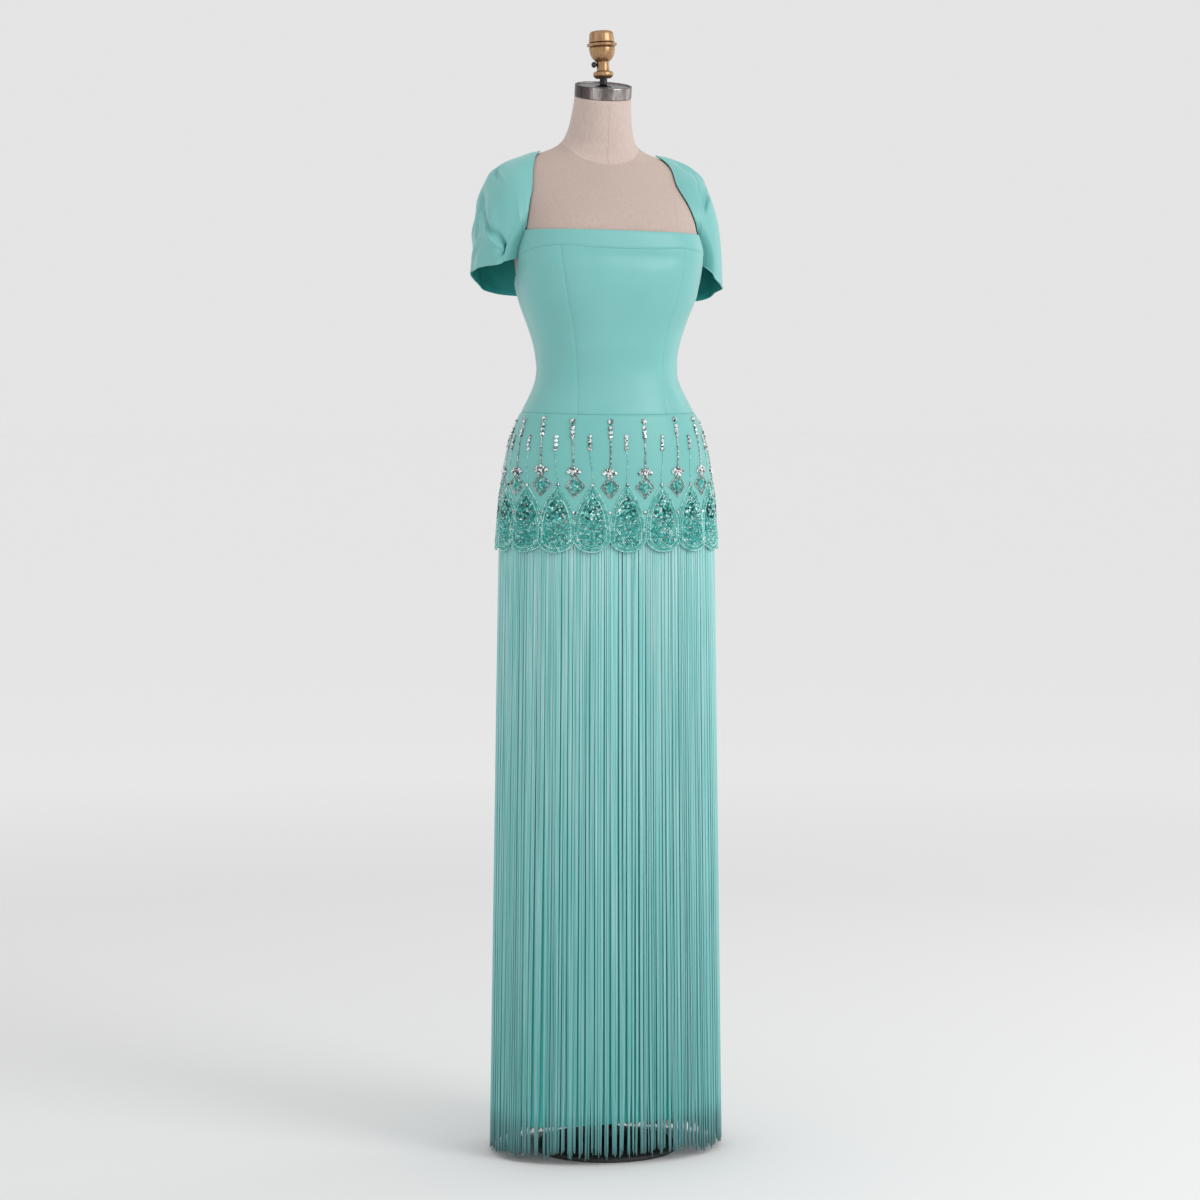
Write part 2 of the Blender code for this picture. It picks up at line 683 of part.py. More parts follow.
ZIP_TOP = BACK_BAND_TOP - 1 * MM
TAPE_WALL = 1.0 * MM
ZIP_TAPE_OUT = EASE + TAPE_WALL
SLIDER_DOWN = 12 * MM  # from the top of the tape to the slider's middle
SLIDER = Vector((7.0, 2.4, 9.0)) * MM
LUG = Vector((1.8, 2.6, 2.8)) * MM
PULL_AXIS_OFF = 1.6 * MM  # from the slider's face to the pull tab's axis
PULL_THICK = 1.0 * MM
PULL_HALF = 2.6 * MM
PULL_SLOT_HALF = 1.3 * MM  # the slot that the lug stands in
PULL_TOP = 1.1 * MM  # heights from the axis
PULL_FORK = -3.2 * MM
PULL_SHOULDER = -14.25 * MM
PULL_LOW = -19 * MM
PULL_LOW_HALF = 1.56 * MM
LUG_SUNK = 0.2 * MM


def slider_centre():
    """Middle of the slider, which rides on the zip tape just below its top."""
    tape = figure_point(ZIP_TOP - SLIDER_DOWN, 180, ZIP_TAPE_OUT)
    return tape + Vector((0, SEAM + SLIDER.y / 2, 0))


def box(name, size, place, material, collection):
    work = bmesh.new()
    bmesh.ops.create_cube(work, size=1.0)
    for vert in work.verts:
        vert.co = Vector((vert.co.x * size.x, vert.co.y * size.y, vert.co.z * size.z))
    mesh = bpy.data.meshes.new(name)
    work.to_mesh(mesh)
    work.free()
    made = add_object(name, mesh, material, collection)
    made.location = place
    return made


def build_zip(tape_cloth, metal, collection, cutters):
    def tape(u, v):
        z = HIP_SEAM + SEAM + (ZIP_TOP - HIP_SEAM - SEAM) * v
        half = 180 - turn_for(z, zip_turn(z), SEAM)
        return figure_point(z, 180 + (2 * u - 1) * half, ZIP_TAPE_OUT)

    sheet("zip_tape", 1, 15, tape, TAPE_WALL, tape_cloth, collection)

    centre = slider_centre()
    slider = box("zip_slider", SLIDER, centre, metal, collection)
    lug_place = centre + Vector((0, SLIDER.y / 2 + LUG.y / 2 - LUG_SUNK, 0))
    lug = box("zip_lug", LUG, lug_place, metal, cutters)
    lug.hide_render = True
    lug.display_type = "WIRE"
    join = slider.modifiers.new("lug", "BOOLEAN")
    join.operation = "UNION"
    join.object = lug

    axis = centre + Vector((0, SLIDER.y / 2 + PULL_AXIS_OFF, 0))
    half = [
        (PULL_SLOT_HALF, PULL_FORK), (PULL_SLOT_HALF, PULL_TOP), (PULL_HALF, PULL_TOP),
        (PULL_HALF, PULL_SHOULDER), (PULL_LOW_HALF, PULL_LOW),
    ]
    outline = half + [(-x, z) for x, z in reversed(half)]
    curve = bpy.data.curves.new("zip_pull", "CURVE")
    curve.dimensions = "2D"
    curve.fill_mode = "BOTH"
    curve.extrude = PULL_THICK / 2
    curve.materials.append(metal)
    line = curve.splines.new("POLY")
    line.points.add(len(outline) - 1)
    for point, (x, z) in zip(line.points, outline):
        point.co = (x, z, 0, 1)
    line.use_cyclic_u = True
    pull = bpy.data.objects.new("zip_pull", curve)
    pull.location = axis
    pull.rotation_euler = (math.radians(90), 0, 0)
    collection.objects.link(pull)


# The dress form and its stand


def build_torso(linen, collection):
    levels = [(TORSO_LOW + up * MM, out * MM) for up, out in TORSO_FOOT]
    levels += [(z * MM, 0.0) for z in TORSO_LEVELS]
    points = []
    for z, out in levels:
        for column in range(TORSO_COLUMNS):
            points.append(figure_point(z, 360 * column / TORSO_COLUMNS, out))
    faces = [tuple(range(TORSO_COLUMNS)), tuple(range(len(points) - TORSO_COLUMNS, len(points)))]
    for level in range(len(levels) - 1):
        for column in range(TORSO_COLUMNS):
            a = level * TORSO_COLUMNS + column
            b = level * TORSO_COLUMNS + (column + 1) % TORSO_COLUMNS
            faces.append((a, b, b + TORSO_COLUMNS, a + TORSO_COLUMNS))
    by_hand("form_torso", points, faces, linen, collection)


def build_head(steel, dark, brass, bright, collection):
    neck = smooth_row(FIGURE, NECK_TOP)
    tilt = math.radians(NECK_TILT)
    normal = Vector((0, -math.sin(tilt), math.cos(tilt)))
    seat = Vector((0, neck.centre, NECK_TOP)) + normal * SEAM
    cap = turned("neck_cap", CAP_PROFILE, 32, steel, collection)
    cap.location = seat
    cap.rotation_euler = (tilt, 0, 0)

    top = seat + normal * CAP_PROFILE[0][1] * MM
    rod_low = top.z + SEAM
    length = (FINIAL_LOW - SEAM - rod_low - ROD_FOOT) / MM
    rod = ROD_RADIUS / MM
    rod_profile = ((0, length), (rod, length), (rod, 0), (0, 0))
    stem = turned("finial_rod", rod_profile, 16, dark, collection)
    stem.location = (top.x, top.y, rod_low + ROD_FOOT)

    lean = math.radians(FINIAL_LEAN)
    finial = turned("finial", FINIAL_PROFILE, 22, brass, collection)
    finial.location = (top.x, top.y, FINIAL_LOW + FINIAL_FOOT)
    finial.rotation_euler = (0, lean, 0)

    up = Vector((math.sin(lean), 0, math.cos(lean)))
    out = Vector((-math.cos(lean), 0, math.sin(lean)))
    knob = turned("finial_thumb_screw", KNOB_PROFILE, 12, bright, collection)
    knob.location = finial.location + up * KNOB_HEIGHT + out * (FINIAL_STEM + SEAM)
    knob.rotation_euler = (0, -math.pi / 2 + lean, 0)


def build_stand(iron, pole_steel, collection):
    turned("stand_base", BASE_PROFILE, 30, iron, collection)
    collar_top = BASE_PROFILE[0][1] * MM
    length = (TORSO_LOW - collar_top - 2 * SEAM) / MM
    radius = POLE_RADIUS / MM
    profile = ((0, length), (radius, length), (radius, 0), (0, 0))
    pole = turned("stand_pole", profile, 20, pole_steel, collection)
    pole.location = (0, 0, collar_top + SEAM)


def main():
    for old in list(bpy.data.objects):
        bpy.data.objects.remove(old, do_unlink=True)
    collection = bpy.data.collections.new("beaded_evening_gown_on_dress_form")
    cutters = bpy.data.collections.new("cutters")
    bpy.context.scene.collection.children.link(collection)
    bpy.context.scene.collection.children.link(cutters)

    satin = principled("satin", (0.16, 0.50, 0.45), 0.42)
    slip = principled("slip_satin", (0.05, 0.36, 0.31), 0.45)
    beaded = principled("beaded_satin", (0.10, 0.42, 0.36), 0.35)
    thread = principled("fringe_thread", (0.17, 0.52, 0.48), 0.5)
    tape = principled("zip_tape", (0.12, 0.42, 0.38), 0.7)
    lacquer = principled("zip_metal", (0.14, 0.44, 0.40), 0.35, 0.6)
    linen = principled("linen", (0.55, 0.47, 0.41), 0.9)
    steel = principled("steel", (0.55, 0.55, 0.56), 0.25, 1.0)
    bright = principled("thumb_steel", (0.65, 0.65, 0.65), 0.2, 1.0)
    dark = principled("black_steel", (0.03, 0.03, 0.03), 0.4, 0.6)
    iron = principled("cast_iron", (0.04, 0.04, 0.04), 0.55, 0.4)
    brass = principled("antique_brass", (0.48, 0.29, 0.12), 0.35, 1.0)

    build_torso(linen, collection)
    build_head(steel, dark, brass, bright, collection)
    build_stand(iron, dark, collection)
    build_bodice(satin, collection)
    build_bands(satin, collection)
    build_sleeves(satin, collection)
    build_peplum(beaded, collection)
    build_slip(slip, collection)
    build_fringe(thread, collection)
    build_zip(tape, lacquer, collection, cutters)


main()
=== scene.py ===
import json
import math

import bpy
import numpy as np
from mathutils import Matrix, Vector

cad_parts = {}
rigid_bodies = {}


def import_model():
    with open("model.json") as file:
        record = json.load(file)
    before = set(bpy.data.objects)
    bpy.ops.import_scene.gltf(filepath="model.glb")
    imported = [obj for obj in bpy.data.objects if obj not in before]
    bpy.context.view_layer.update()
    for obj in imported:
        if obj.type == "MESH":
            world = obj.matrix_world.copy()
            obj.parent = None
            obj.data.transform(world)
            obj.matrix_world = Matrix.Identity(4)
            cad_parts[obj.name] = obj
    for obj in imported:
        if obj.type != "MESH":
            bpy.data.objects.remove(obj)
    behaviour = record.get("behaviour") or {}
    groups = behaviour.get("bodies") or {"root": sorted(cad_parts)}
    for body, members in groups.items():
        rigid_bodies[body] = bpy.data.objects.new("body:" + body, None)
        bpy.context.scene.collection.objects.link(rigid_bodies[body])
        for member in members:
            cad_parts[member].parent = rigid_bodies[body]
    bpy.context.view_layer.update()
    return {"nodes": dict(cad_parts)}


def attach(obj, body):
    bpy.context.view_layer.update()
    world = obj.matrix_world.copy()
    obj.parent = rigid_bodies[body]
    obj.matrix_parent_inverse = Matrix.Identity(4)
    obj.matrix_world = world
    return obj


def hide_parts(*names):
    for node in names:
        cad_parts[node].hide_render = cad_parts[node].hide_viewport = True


# A turquoise satin evening gown with a beaded peplum and a long fringe, on its dress form.
# Metres, +Z up, the gown's front faces -Y. A turn is an angle round the body in degrees: 0 at the
# centre front, 90 at the +X side, 180 at the centre back. Tables and sizes are in millimetres.

for old in list(bpy.data.objects):
    bpy.data.objects.remove(old, do_unlink=True)
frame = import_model()
mm = 0.001
fineSteps = 1441  # points in a close reading round the body
gownBody = "gown_on_form"
screwBody = "thumb_screw"
print("frame loaded:", len(frame["nodes"]), "nodes")


# The figure that the cloth lies on: z, half width, front, back, front squareness, back squareness,
# centre, tilt
figureRows = np.array([
    (0, 178.0, 119.6, 132.0, 2.15, 2.15, 0, 0), (465, 170.9, 115.5, 129.0, 2.15, 2.15, 0, 0),
    (930, 163.8, 111.5, 126.0, 2.15, 2.15, 0, 0), (988, 163.0, 111.0, 125.6, 2.15, 2.15, 0, 0),
    (1019, 161.3, 110.3, 125.4, 2.15, 2.15, 0, 0), (1050, 158.8, 109.0, 124.6, 2.15, 2.15, 0, 0),
    (1081, 154.6, 107.0, 122.2, 2.15, 2.15, 0, 0), (1112, 148.0, 104.5, 118.0, 2.15, 2.15, 0, 0),
    (1128, 142.8, 102.5, 114.0, 2.15, 2.15, 0, 0), (1143, 137.2, 100.0, 108.5, 2.2, 2.15, 0, 0),
    (1159, 130.6, 97.0, 102.0, 2.2, 2.2, 0, 0), (1174, 122.6, 94.5, 96.5, 2.25, 2.2, 0, 0),
    (1190, 114.6, 92.3, 91.6, 2.3, 2.2, 0, 0), (1205, 109.0, 90.8, 88.0, 2.3, 2.2, 0, 0),
    (1221, 106.4, 90.2, 85.8, 2.3, 2.2, 0, 0), (1236, 106.9, 91.2, 85.8, 2.3, 2.25, 0, 0),
    (1252, 109.0, 93.6, 87.0, 2.35, 2.3, 0, 0), (1267, 112.5, 95.0, 91.5, 2.4, 2.3, 0, 0),
    (1283, 117.2, 98.2, 96.0, 2.4, 2.35, 0, 0), (1298, 122.3, 102.2, 99.5, 2.45, 2.4, 0, 0),
    (1317, 129.6, 108.0, 103.0, 2.5, 2.4, 0, 0), (1345, 137.6, 114.4, 106.5, 2.55, 2.45, 0, 0),
    (1375, 142.2, 115.8, 108.5, 2.75, 2.5, 0, 0), (1403, 143.0, 113.0, 109.6, 3.0, 2.6, 0, 0),
    (1431, 137.4, 108.6, 110.0, 2.9, 2.6, 0, 0), (1460, 138.6, 104.6, 102.0, 2.3, 2.5, 8, 0),
    (1485, 145.0, 98.0, 90.0, 1.9, 2.4, 22, 0), (1507, 150.5, 92.0, 72.0, 1.65, 2.3, 40, 0),
    (1520, 150.5, 84.0, 62.0, 1.6, 2.2, 47, 0), (1530, 145.0, 76.0, 56.0, 1.6, 2.1, 50, 0),
    (1538, 135.0, 69.0, 52.0, 1.6, 2.0, 51, 0), (1546, 119.0, 63.5, 49.0, 1.6, 2.0, 51, 2),
    (1554, 98.0, 60.0, 48.0, 1.65, 2.0, 50, 4), (1561, 78.0, 57.0, 48.0, 1.8, 2.0, 47, 6),
    (1568, 64.5, 54.5, 48.0, 2.0, 2.0, 44, 8), (1578, 55.8, 52.0, 49.0, 2.0, 2.0, 40, 10),
    (1596, 49.6, 49.0, 48.0, 2.0, 2.0, 33, 12), (1622, 45.6, 45.6, 45.6, 2.0, 2.0, 25, 13),
    (1640, 43.9, 43.9, 43.9, 2.0, 2.0, 20, 13),
])
swayRows = np.array([  # z, how far the hips and the skirt sit to the +X side
    (0, 0.6), (465, 1.2), (930, 1.8), (992, 1.9), (1053, 2.6), (1112, 2.7), (1150, 2.6), (1174, 1.9),
    (1204, 0.9), (1240, 0),
])
princessRows = np.array([(1150, 30.4), (1190, 34.0), (1221, 36.4), (1290, 36.0), (1410, 37.4)])  # z, turn
frontEdgeRows = np.array([  # turn, z
    (0, 1403.5), (20, 1404.5), (37.4, 1407), (60, 1400), (79.6, 1389), (85, 1375), (90.5, 1366),
])
sideBackEdgeRows = np.array([(89.5, 1366), (97, 1358), (108, 1346), (120, 1337), (133, 1334)])  # turn, z

gown = {
    "ease": 1.1, "wall": 1.5, "bandWall": 2.2, "seam": 0.4, "hipSeam": 1152, "hipDip": 3.6, "bandTop": 1431,
    "backBandTop": 1440, "backBandLow": 1414, "armholeTurn": 132, "armholeLow": 1335, "zipHalf": 5,
    # how far the +X shoulder drops for each millimetre out, and the heights where that starts and ends
    "drop": 0.02, "dropFrom": (1280, 1400), "dropTo": (1570, 1610),
    "leastCut": 0.01,  # metres, the least width that a sheet may have
}
bodiceOut = gown["ease"] + gown["wall"]
bandOut = gown["ease"] + gown["bandWall"]


def rowsAt(rows, place):
    # a smooth curve through all the rows, read at these places of the first column
    x = rows[:, 0]
    place = np.clip(np.asarray(place, float), x[0], x[-1])
    index = np.clip(np.searchsorted(x, place, side="right") - 1, 0, len(x) - 2)
    before = np.maximum(np.arange(len(x)) - 1, 0)
    after = np.minimum(np.arange(len(x)) + 1, len(x) - 1)
    slope = (rows[after] - rows[before]) / (x[after] - x[before])[:, None]
    span = (x[index + 1] - x[index])[..., None]
    t = (place - x[index])[..., None] / span
    return (
        rows[index] * (2 * t**3 - 3 * t**2 + 1)
        + slope[index] * span * (t**3 - 2 * t**2 + t)
        + rows[index + 1] * (3 * t**2 - 2 * t**3)
        + slope[index + 1] * span * (t**3 - t**2)
    )


def ramp(value, start, end):
    t = np.clip((value - start) / (end - start), 0, 1)
    return t * t * (3 - 2 * t)


def figurePoint(z, turn, out=0.0):
    # the point on the figure at this height and turn, and this far out of its surface
    z, turn, out = np.broadcast_arrays(*[np.asarray(each, float) for each in (z, turn, out)])
    row = rowsAt(figureRows, z)
    across, along = np.sin(np.radians(turn)), np.cos(np.radians(turn))
    front = along >= 0
    depth = np.where(front, row[..., 2], row[..., 3])
    power = np.where(front, row[..., 4], row[..., 5])
    reach = (np.abs(across) ** power + np.abs(along) ** power) ** (-1 / power)
    y = -(depth + out) * reach * along
    lean = y * np.tan(np.radians(row[..., 7]))
    x = (row[..., 1] + out) * reach * across + rowsAt(swayRows, z)[..., 1]
    return np.stack([x, row[..., 6] + y, z + lean], axis=-1)


def settled(points):
    # the form's +X shoulder sits a little lower
    z = points[..., 2]
    drop = gown["drop"] * ramp(z, *gown["dropFrom"]) * (1 - ramp(z, *gown["dropTo"]))
    moved = points.copy()
    moved[..., 2] = z - drop * points[..., 0]
    return moved


def bell(distance, width):
    # 1 at no distance, and close to nothing beyond two widths
    return np.exp(-((distance / width) ** 2))


def wrapped(turn):
    # the same turn, between -180 and 180
    return (np.asarray(turn, float) + 180) % 360 - 180


def anglesRound(count):
    return np.arange(count) * 2 * np.pi / count


def lengthAlong(route):
    # how far along the route each of its points is
    steps = np.linalg.norm(np.diff(route, axis=0), axis=1)
    return np.concatenate([[0], np.cumsum(steps)])


def unit(vectors):
    return vectors / np.maximum(np.linalg.norm(vectors, axis=-1, keepdims=True), 1e-9)


def figureNormal(z, turn):
    up = figurePoint(z + 2, turn) - figurePoint(z - 2, turn)
    across = figurePoint(z, turn + 1) - figurePoint(z, turn - 1)
    return unit(np.cross(across, up))


def turnLength(z, turn):
    # millimetres round the figure for one degree of turn
    return np.linalg.norm(figurePoint(z, turn + 0.5) - figurePoint(z, turn - 0.5), axis=-1)


def turnFor(z, turn, distance):
    return turn + distance / turnLength(z, turn)


def edged(count, edges=(0.0, 0.003, 0.008, 0.016), inner=0.03):
    # even steps with finer ones at both ends, so that an edge rounds over crisply
    ends = np.array(edges)
    return np.concatenate([ends, np.linspace(inner, 1 - inner, count), 1 - ends[::-1]])


def creaseLift(x, y, creases, scale, ends=0.03, fullness=0.6):
    # Soft ridges or troughs along short routes. A row is the width and height in millimetres, how much
    # steeper one side is, then the route's points in x and y, which scale turns into millimetres.
    x, y = x * scale[0], y * scale[1]
    lift = np.zeros(np.shape(x))
    for width, height, skew, *flat in creases:
        route = np.reshape(flat, (-1, 2)) * scale
        nearest = np.full(np.shape(x), np.inf)
        along, side = np.zeros(np.shape(x)), np.zeros(np.shape(x))
        for k, ((x0, y0), (x1, y1)) in enumerate(zip(route, route[1:])):
            dx, dy = x1 - x0, y1 - y0
            long = math.hypot(dx, dy)
            t = np.clip(((x - x0) * dx + (y - y0) * dy) / long**2, 0, 1)
            off = np.hypot(x - x0 - t * dx, y - y0 - t * dy)
            closer = off < nearest
            nearest = np.where(closer, off, nearest)
            along = np.where(closer, (k + t) / (len(route) - 1), along)
            side = np.where(closer, np.sign((x - x0) * dy - (y - y0) * dx), side)
        fade = np.sin(np.pi * np.clip(along, ends, 1 - ends)) ** fullness
        lift += height * fade * bell(nearest, width * (1 + skew * side))
    return lift


def addPiece(name, points, faces, material, slot, body=gownBody, nodes=(), smooth=True):
    mesh = bpy.data.meshes.new(name)
    mesh.from_pydata((np.asarray(points).reshape(-1, 3) * mm).tolist(), [], faces)
    mesh.materials.append(material)
    if smooth:
        mesh.shade_smooth()
    piece = bpy.data.objects.new(name, mesh)
    bpy.context.scene.collection.objects.link(piece)
    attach(piece, body)
    if nodes:
        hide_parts(*nodes)
    return piece


def gridFaces(rows, columns, closed=False):
    wide = columns if closed else columns + 1
    a = (np.arange(rows)[:, None] * wide + np.arange(columns)).ravel()
    b = (np.arange(rows)[:, None] * wide + (np.arange(columns) + 1) % wide).ravel()
    return np.stack([a, b, b + wide, a + wide], axis=1).tolist()


def tubeFaces(rows, sides):
    # a tube's rings of points as faces, with a cap at each end
    last = (rows - 1) * sides
    return gridFaces(rows - 1, sides, True) + [list(range(sides))[::-1], list(range(last, last + sides))]


def joined(meshes):
    # several meshes' points and faces as one
    points, faces, start = [], [], 0
    for somePoints, someFaces in meshes:
        points.append(np.reshape(somePoints, (-1, 3)))
        faces += [[start + k for k in face] for face in someFaces]
        start += len(points[-1])
    return np.concatenate(points), faces


def cutSize(points, closed=False):
    # the flat cut of a shell in metres: its longest row, its longest column and its area
    if closed:
        points = np.concatenate([points, points[:, :1]], axis=1)
    across, up = np.diff(points, axis=1), np.diff(points, axis=0)
    width = np.linalg.norm(across, axis=-1).sum(axis=1).max()
    length = np.linalg.norm(up, axis=-1).sum(axis=0).max()
    area = np.linalg.norm(np.cross(across[:-1], up[:, :-1]), axis=-1).sum()
    return (width * mm, length * mm), area * mm * mm


def clothShell(name, points, wall, material, slot, node, closed=False, shadedInside=None):
    rows, columns = points.shape[0] - 1, points.shape[1] - (0 if closed else 1)
    piece = addPiece(name, points, gridFaces(rows, columns, closed), material, slot, nodes=[node])
    shell = piece.modifiers.new("wall", "SOLIDIFY")
    shell.thickness = wall * mm
    shell.offset = -1
    # the inner wall takes a second material, the satin with its inside's shade painted in
    if shadedInside:
        piece.data.materials.append(shadedInside)
        shell.material_offset = 1
    flat, area = cutSize(points, closed)
    flat = (max(flat[0], gown["leastCut"]), flat[1])
    area = min(area, flat[0] * flat[1])
    return piece


# Materials

def newMaterial(name, colour, roughness, metallic=0.0, **sockets):
    material = bpy.data.materials.new(name)
    material.use_nodes = True
    inputs = material.node_tree.nodes["Principled BSDF"].inputs
    inputs["Base Color"].default_value = (*colour, 1)
    inputs["Roughness"].default_value = roughness
    inputs["Metallic"].default_value = metallic
    for socket, value in sockets.items():
        inputs[socket.replace("_", " ")].default_value = value
    return material


def addNode(material, kind, sockets=(), **settings):
    # a shader node, each socket linked to another node's output or given a value
    tree = material.node_tree
    node = tree.nodes.new("ShaderNode" + kind)
    for name, value in settings.items():
        setattr(node, name, value)
    for socket, value in dict(sockets).items():
        if isinstance(value, bpy.types.NodeSocket):
            tree.links.new(value, node.inputs[socket])
        else:
            node.inputs[socket].default_value = value
    return node


def feed(material, socket, output):
    tree = material.node_tree
    tree.links.new(output, tree.nodes["Principled BSDF"].inputs[socket])


def colourOf(material):
    # the output that colours it so far
    return material.node_tree.nodes["Principled BSDF"].inputs["Base Color"].links[0].from_socket


def placeAlong(material, axis):
    # the place along one of the piece's own axes, in metres
    place = addNode(material, "TexCoord")
    return addNode(material, "SeparateXYZ", {"Vector": place.outputs["Object"]}).outputs[axis]


def texture(material, kind, scale, stretch=(1, 1, 1), **sockets):
    # a texture in the piece's own metres, stretched along its axes
    place = addNode(material, "TexCoord")
    mapping = addNode(material, "Mapping", {
        "Vector": place.outputs["Object"], "Scale": [scale * share for share in stretch],
    })
    made = addNode(material, "Tex" + kind, {"Vector": mapping.outputs["Vector"], **sockets})
    if "Scale" in made.inputs:
        made.inputs["Scale"].default_value = 1.0
    return made


def colourFrom(material, source, stops, target="Base Color"):
    colours = addNode(material, "ValToRGB", {"Fac": source})
    elements = colours.color_ramp.elements
    for end in (0, -1):
        elements[end].position = stops[end][0]
        elements[end].color = (*stops[end][1], 1)
    for position, colour in stops[1:-1]:
        elements.new(position).color = (*colour, 1)
    if target:
        feed(material, target, colours.outputs["Color"])
    return colours.outputs["Color"]


def tinted(material, source, stops):
    # the colour so far multiplied by a second one
    flat = colourOf(material)
    tint = colourFrom(material, source, stops, None)
    blend = addNode(
        material, "Mix", {"Factor": 1.0, 6: flat, 7: tint}, data_type="RGBA", blend_type="MULTIPLY",
    )
    feed(material, "Base Color", blend.outputs[2])


def roughnessFrom(material, source, low, high):
    spread = addNode(material, "MapRange", {"Value": source, "To Min": low, "To Max": high})
    feed(material, "Roughness", spread.outputs["Result"])


def bumpFrom(material, sources, distance, strength):
    below = {}
    for source in sources:
        sockets = {"Height": source, "Distance": distance * mm, "Strength": strength, **below}
        below = {"Normal": addNode(material, "Bump", sockets).outputs["Normal"]}
    feed(material, "Normal", below["Normal"])


def hollowed(material, distance, stops):
    # painted shade: darker where the surface creases or meets another, as an ambient-occlusion node finds it
    hollow = addNode(material, "AmbientOcclusion", {"Distance": distance * mm}, samples=6)
    tinted(material, hollow.outputs["AO"], stops)


def satinMaterial(name, light, dark, roughness, sheen=0.45, foldShade=(0.30, 0.64, 0.62)):
    cloth = newMaterial(
        name, light, roughness, Sheen_Weight=sheen, Sheen_Roughness=0.35, Anisotropic=0.35,
    )
    cloud = texture(cloth, "Noise", 7, Detail=3)
    colourFrom(cloth, cloud.outputs["Fac"], [(0.3, dark), (0.7, light)])
    floats = texture(cloth, "Noise", 900, (1, 1, 0.16), Detail=2)  # the satin's warp floats
    weave = texture(cloth, "Noise", 2600, (0.3, 0.3, 1), Detail=1)
    roughnessFrom(cloth, floats.outputs["Fac"], roughness - 0.06, roughness + 0.08)
    bumpFrom(cloth, [floats.outputs["Fac"], weave.outputs["Fac"]], distance=0.05, strength=0.25)
    # painted shade: the satin darkened to a deeper teal in its creases and where pieces meet
    hollowed(cloth, distance=12, stops=[(0.35, foldShade), (0.85, (1, 1, 1))])
    return cloth


def linenMaterial():
    cloth = newMaterial("linenJersey", (0.61, 0.49, 0.44), 0.85, Sheen_Weight=0.12)
    slub = texture(cloth, "Noise", 420, (1, 1, 0.25), Detail=4)
    colourFrom(cloth, slub.outputs["Fac"], [(0.25, (0.565, 0.447, 0.398)), (0.75, (0.655, 0.528, 0.477))])
    # the tone is 1 on the neck and 0 on the chest's darker cloth
    tone = addNode(cloth, "Attribute", attribute_name="tone")
    tinted(cloth, tone.outputs["Fac"], [(0.0, (0.87, 0.855, 0.84)), (1.0, (1, 1, 1))])
    threads = texture(cloth, "Noise", 1500, (0.35, 0.35, 1), Detail=2)
    bumpFrom(cloth, [slub.outputs["Fac"], threads.outputs["Fac"]], distance=0.12, strength=0.3)
    return cloth


def fringeMaterial():
    thread = newMaterial("rayonFringe", (0.28, 0.60, 0.58), 0.4, Sheen_Weight=0.3, Sheen_Roughness=0.4)
    streaks = texture(thread, "Noise", 420, (1, 1, 0.004), Detail=2)
    colourFrom(thread, streaks.outputs["Fac"], [
        (0.30, (0.19, 0.60, 0.57)), (0.5, (0.33, 0.70, 0.68)), (0.68, (0.50, 0.76, 0.77)),
    ])
    # painted shade: the thread darker lower down, as if less light reached it, and darkest below the slip's
    # hem; at the top a touch of painted light
    tinted(thread, placeAlong(thread, "Z"), [
        (0.0, (0.22, 0.32, 0.34)), (0.05, (0.36, 0.50, 0.52)), (0.08, (0.54, 0.76, 0.76)),
        (0.5, (0.80, 0.93, 0.93)), (0.95, (1.05, 1.05, 1.05)),
    ])
    twist = texture(thread, "Wave", 260, (0.4, 0.4, 1))
    twist.bands_direction = "Z"
    bumpFrom(thread, [twist.outputs["Fac"]], distance=0.2, strength=0.5)
    return thread


def beadMaterial(name, roughness, metallic, stops, cells=340, coat=0.8):
    # each bead takes its own colour from the cell that it lies in
    glass = newMaterial(name, stops[1][1], roughness, metallic, Coat_Weight=coat, Coat_Roughness=0.05)
    spots = texture(glass, "Voronoi", cells)
    split = addNode(glass, "SeparateColor", {"Color": spots.outputs["Color"]})
    colourFrom(glass, split.outputs["Red"], stops)
    roughnessFrom(glass, split.outputs["Green"], roughness * 0.6, roughness * 1.5)
    return glass


def metalMaterial(name, dark, light, roughness, grain, metallic=1.0, stretch=(1, 1, 1), anisotropic=0.0):
    metal = newMaterial(name, light, roughness, metallic, Anisotropic=anisotropic)
    brushed = texture(metal, "Noise", grain, stretch, Detail=3).outputs["Fac"]
    colourFrom(metal, brushed, [(0.3, dark), (0.7, light)])
    roughnessFrom(metal, brushed, roughness * 0.7, roughness * 1.35)
    bumpFrom(metal, [brushed], distance=0.03, strength=0.3)
    return metal


def brassMaterial():
    metal = metalMaterial(
        "antiqueBrass", (0.31, 0.17, 0.09), (0.58, 0.37, 0.20), roughness=0.34, grain=420,
        stretch=(1, 1, 0.12),
    )
    # the grooves darkened nearly to black brown: painted shade, together with the antique finish's dark in
    # its hollows
    hollowed(metal, distance=2.2, stops=[(0.4, (0.08, 0.045, 0.035)), (0.9, (1, 1, 1))])
    return metal


def reflectionBandedSteel(ringRadius=44.5):
    # polished steel with painted reflections: upright light and dark bands across the ring, where a turned
    # ring would reflect its surroundings
    metal = metalMaterial(
        "brushedSteel", (0.30, 0.28, 0.275), (0.66, 0.63, 0.62), roughness=0.26, grain=260,
        stretch=(1, 1, 0.03), anisotropic=0.5,
    )
    spread = addNode(metal, "MapRange", {
        "Value": placeAlong(metal, "X"), "From Min": -ringRadius * mm, "From Max": ringRadius * mm,
    })
    tinted(metal, spread.outputs["Result"], [
        (0.0, (0.12, 0.11, 0.11)), (0.15, (0.26, 0.23, 0.23)), (0.215, (0.95, 0.9, 0.88)),
        (0.30, (1.0, 0.95, 0.93)), (0.36, (0.38, 0.35, 0.35)), (0.51, (0.42, 0.39, 0.39)),
        (0.60, (1.0, 0.96, 0.94)), (0.69, (1.0, 0.97, 0.95)), (0.77, (0.66, 0.62, 0.61)),
        (1.0, (0.40, 0.37, 0.37)),
    ])
    return metal


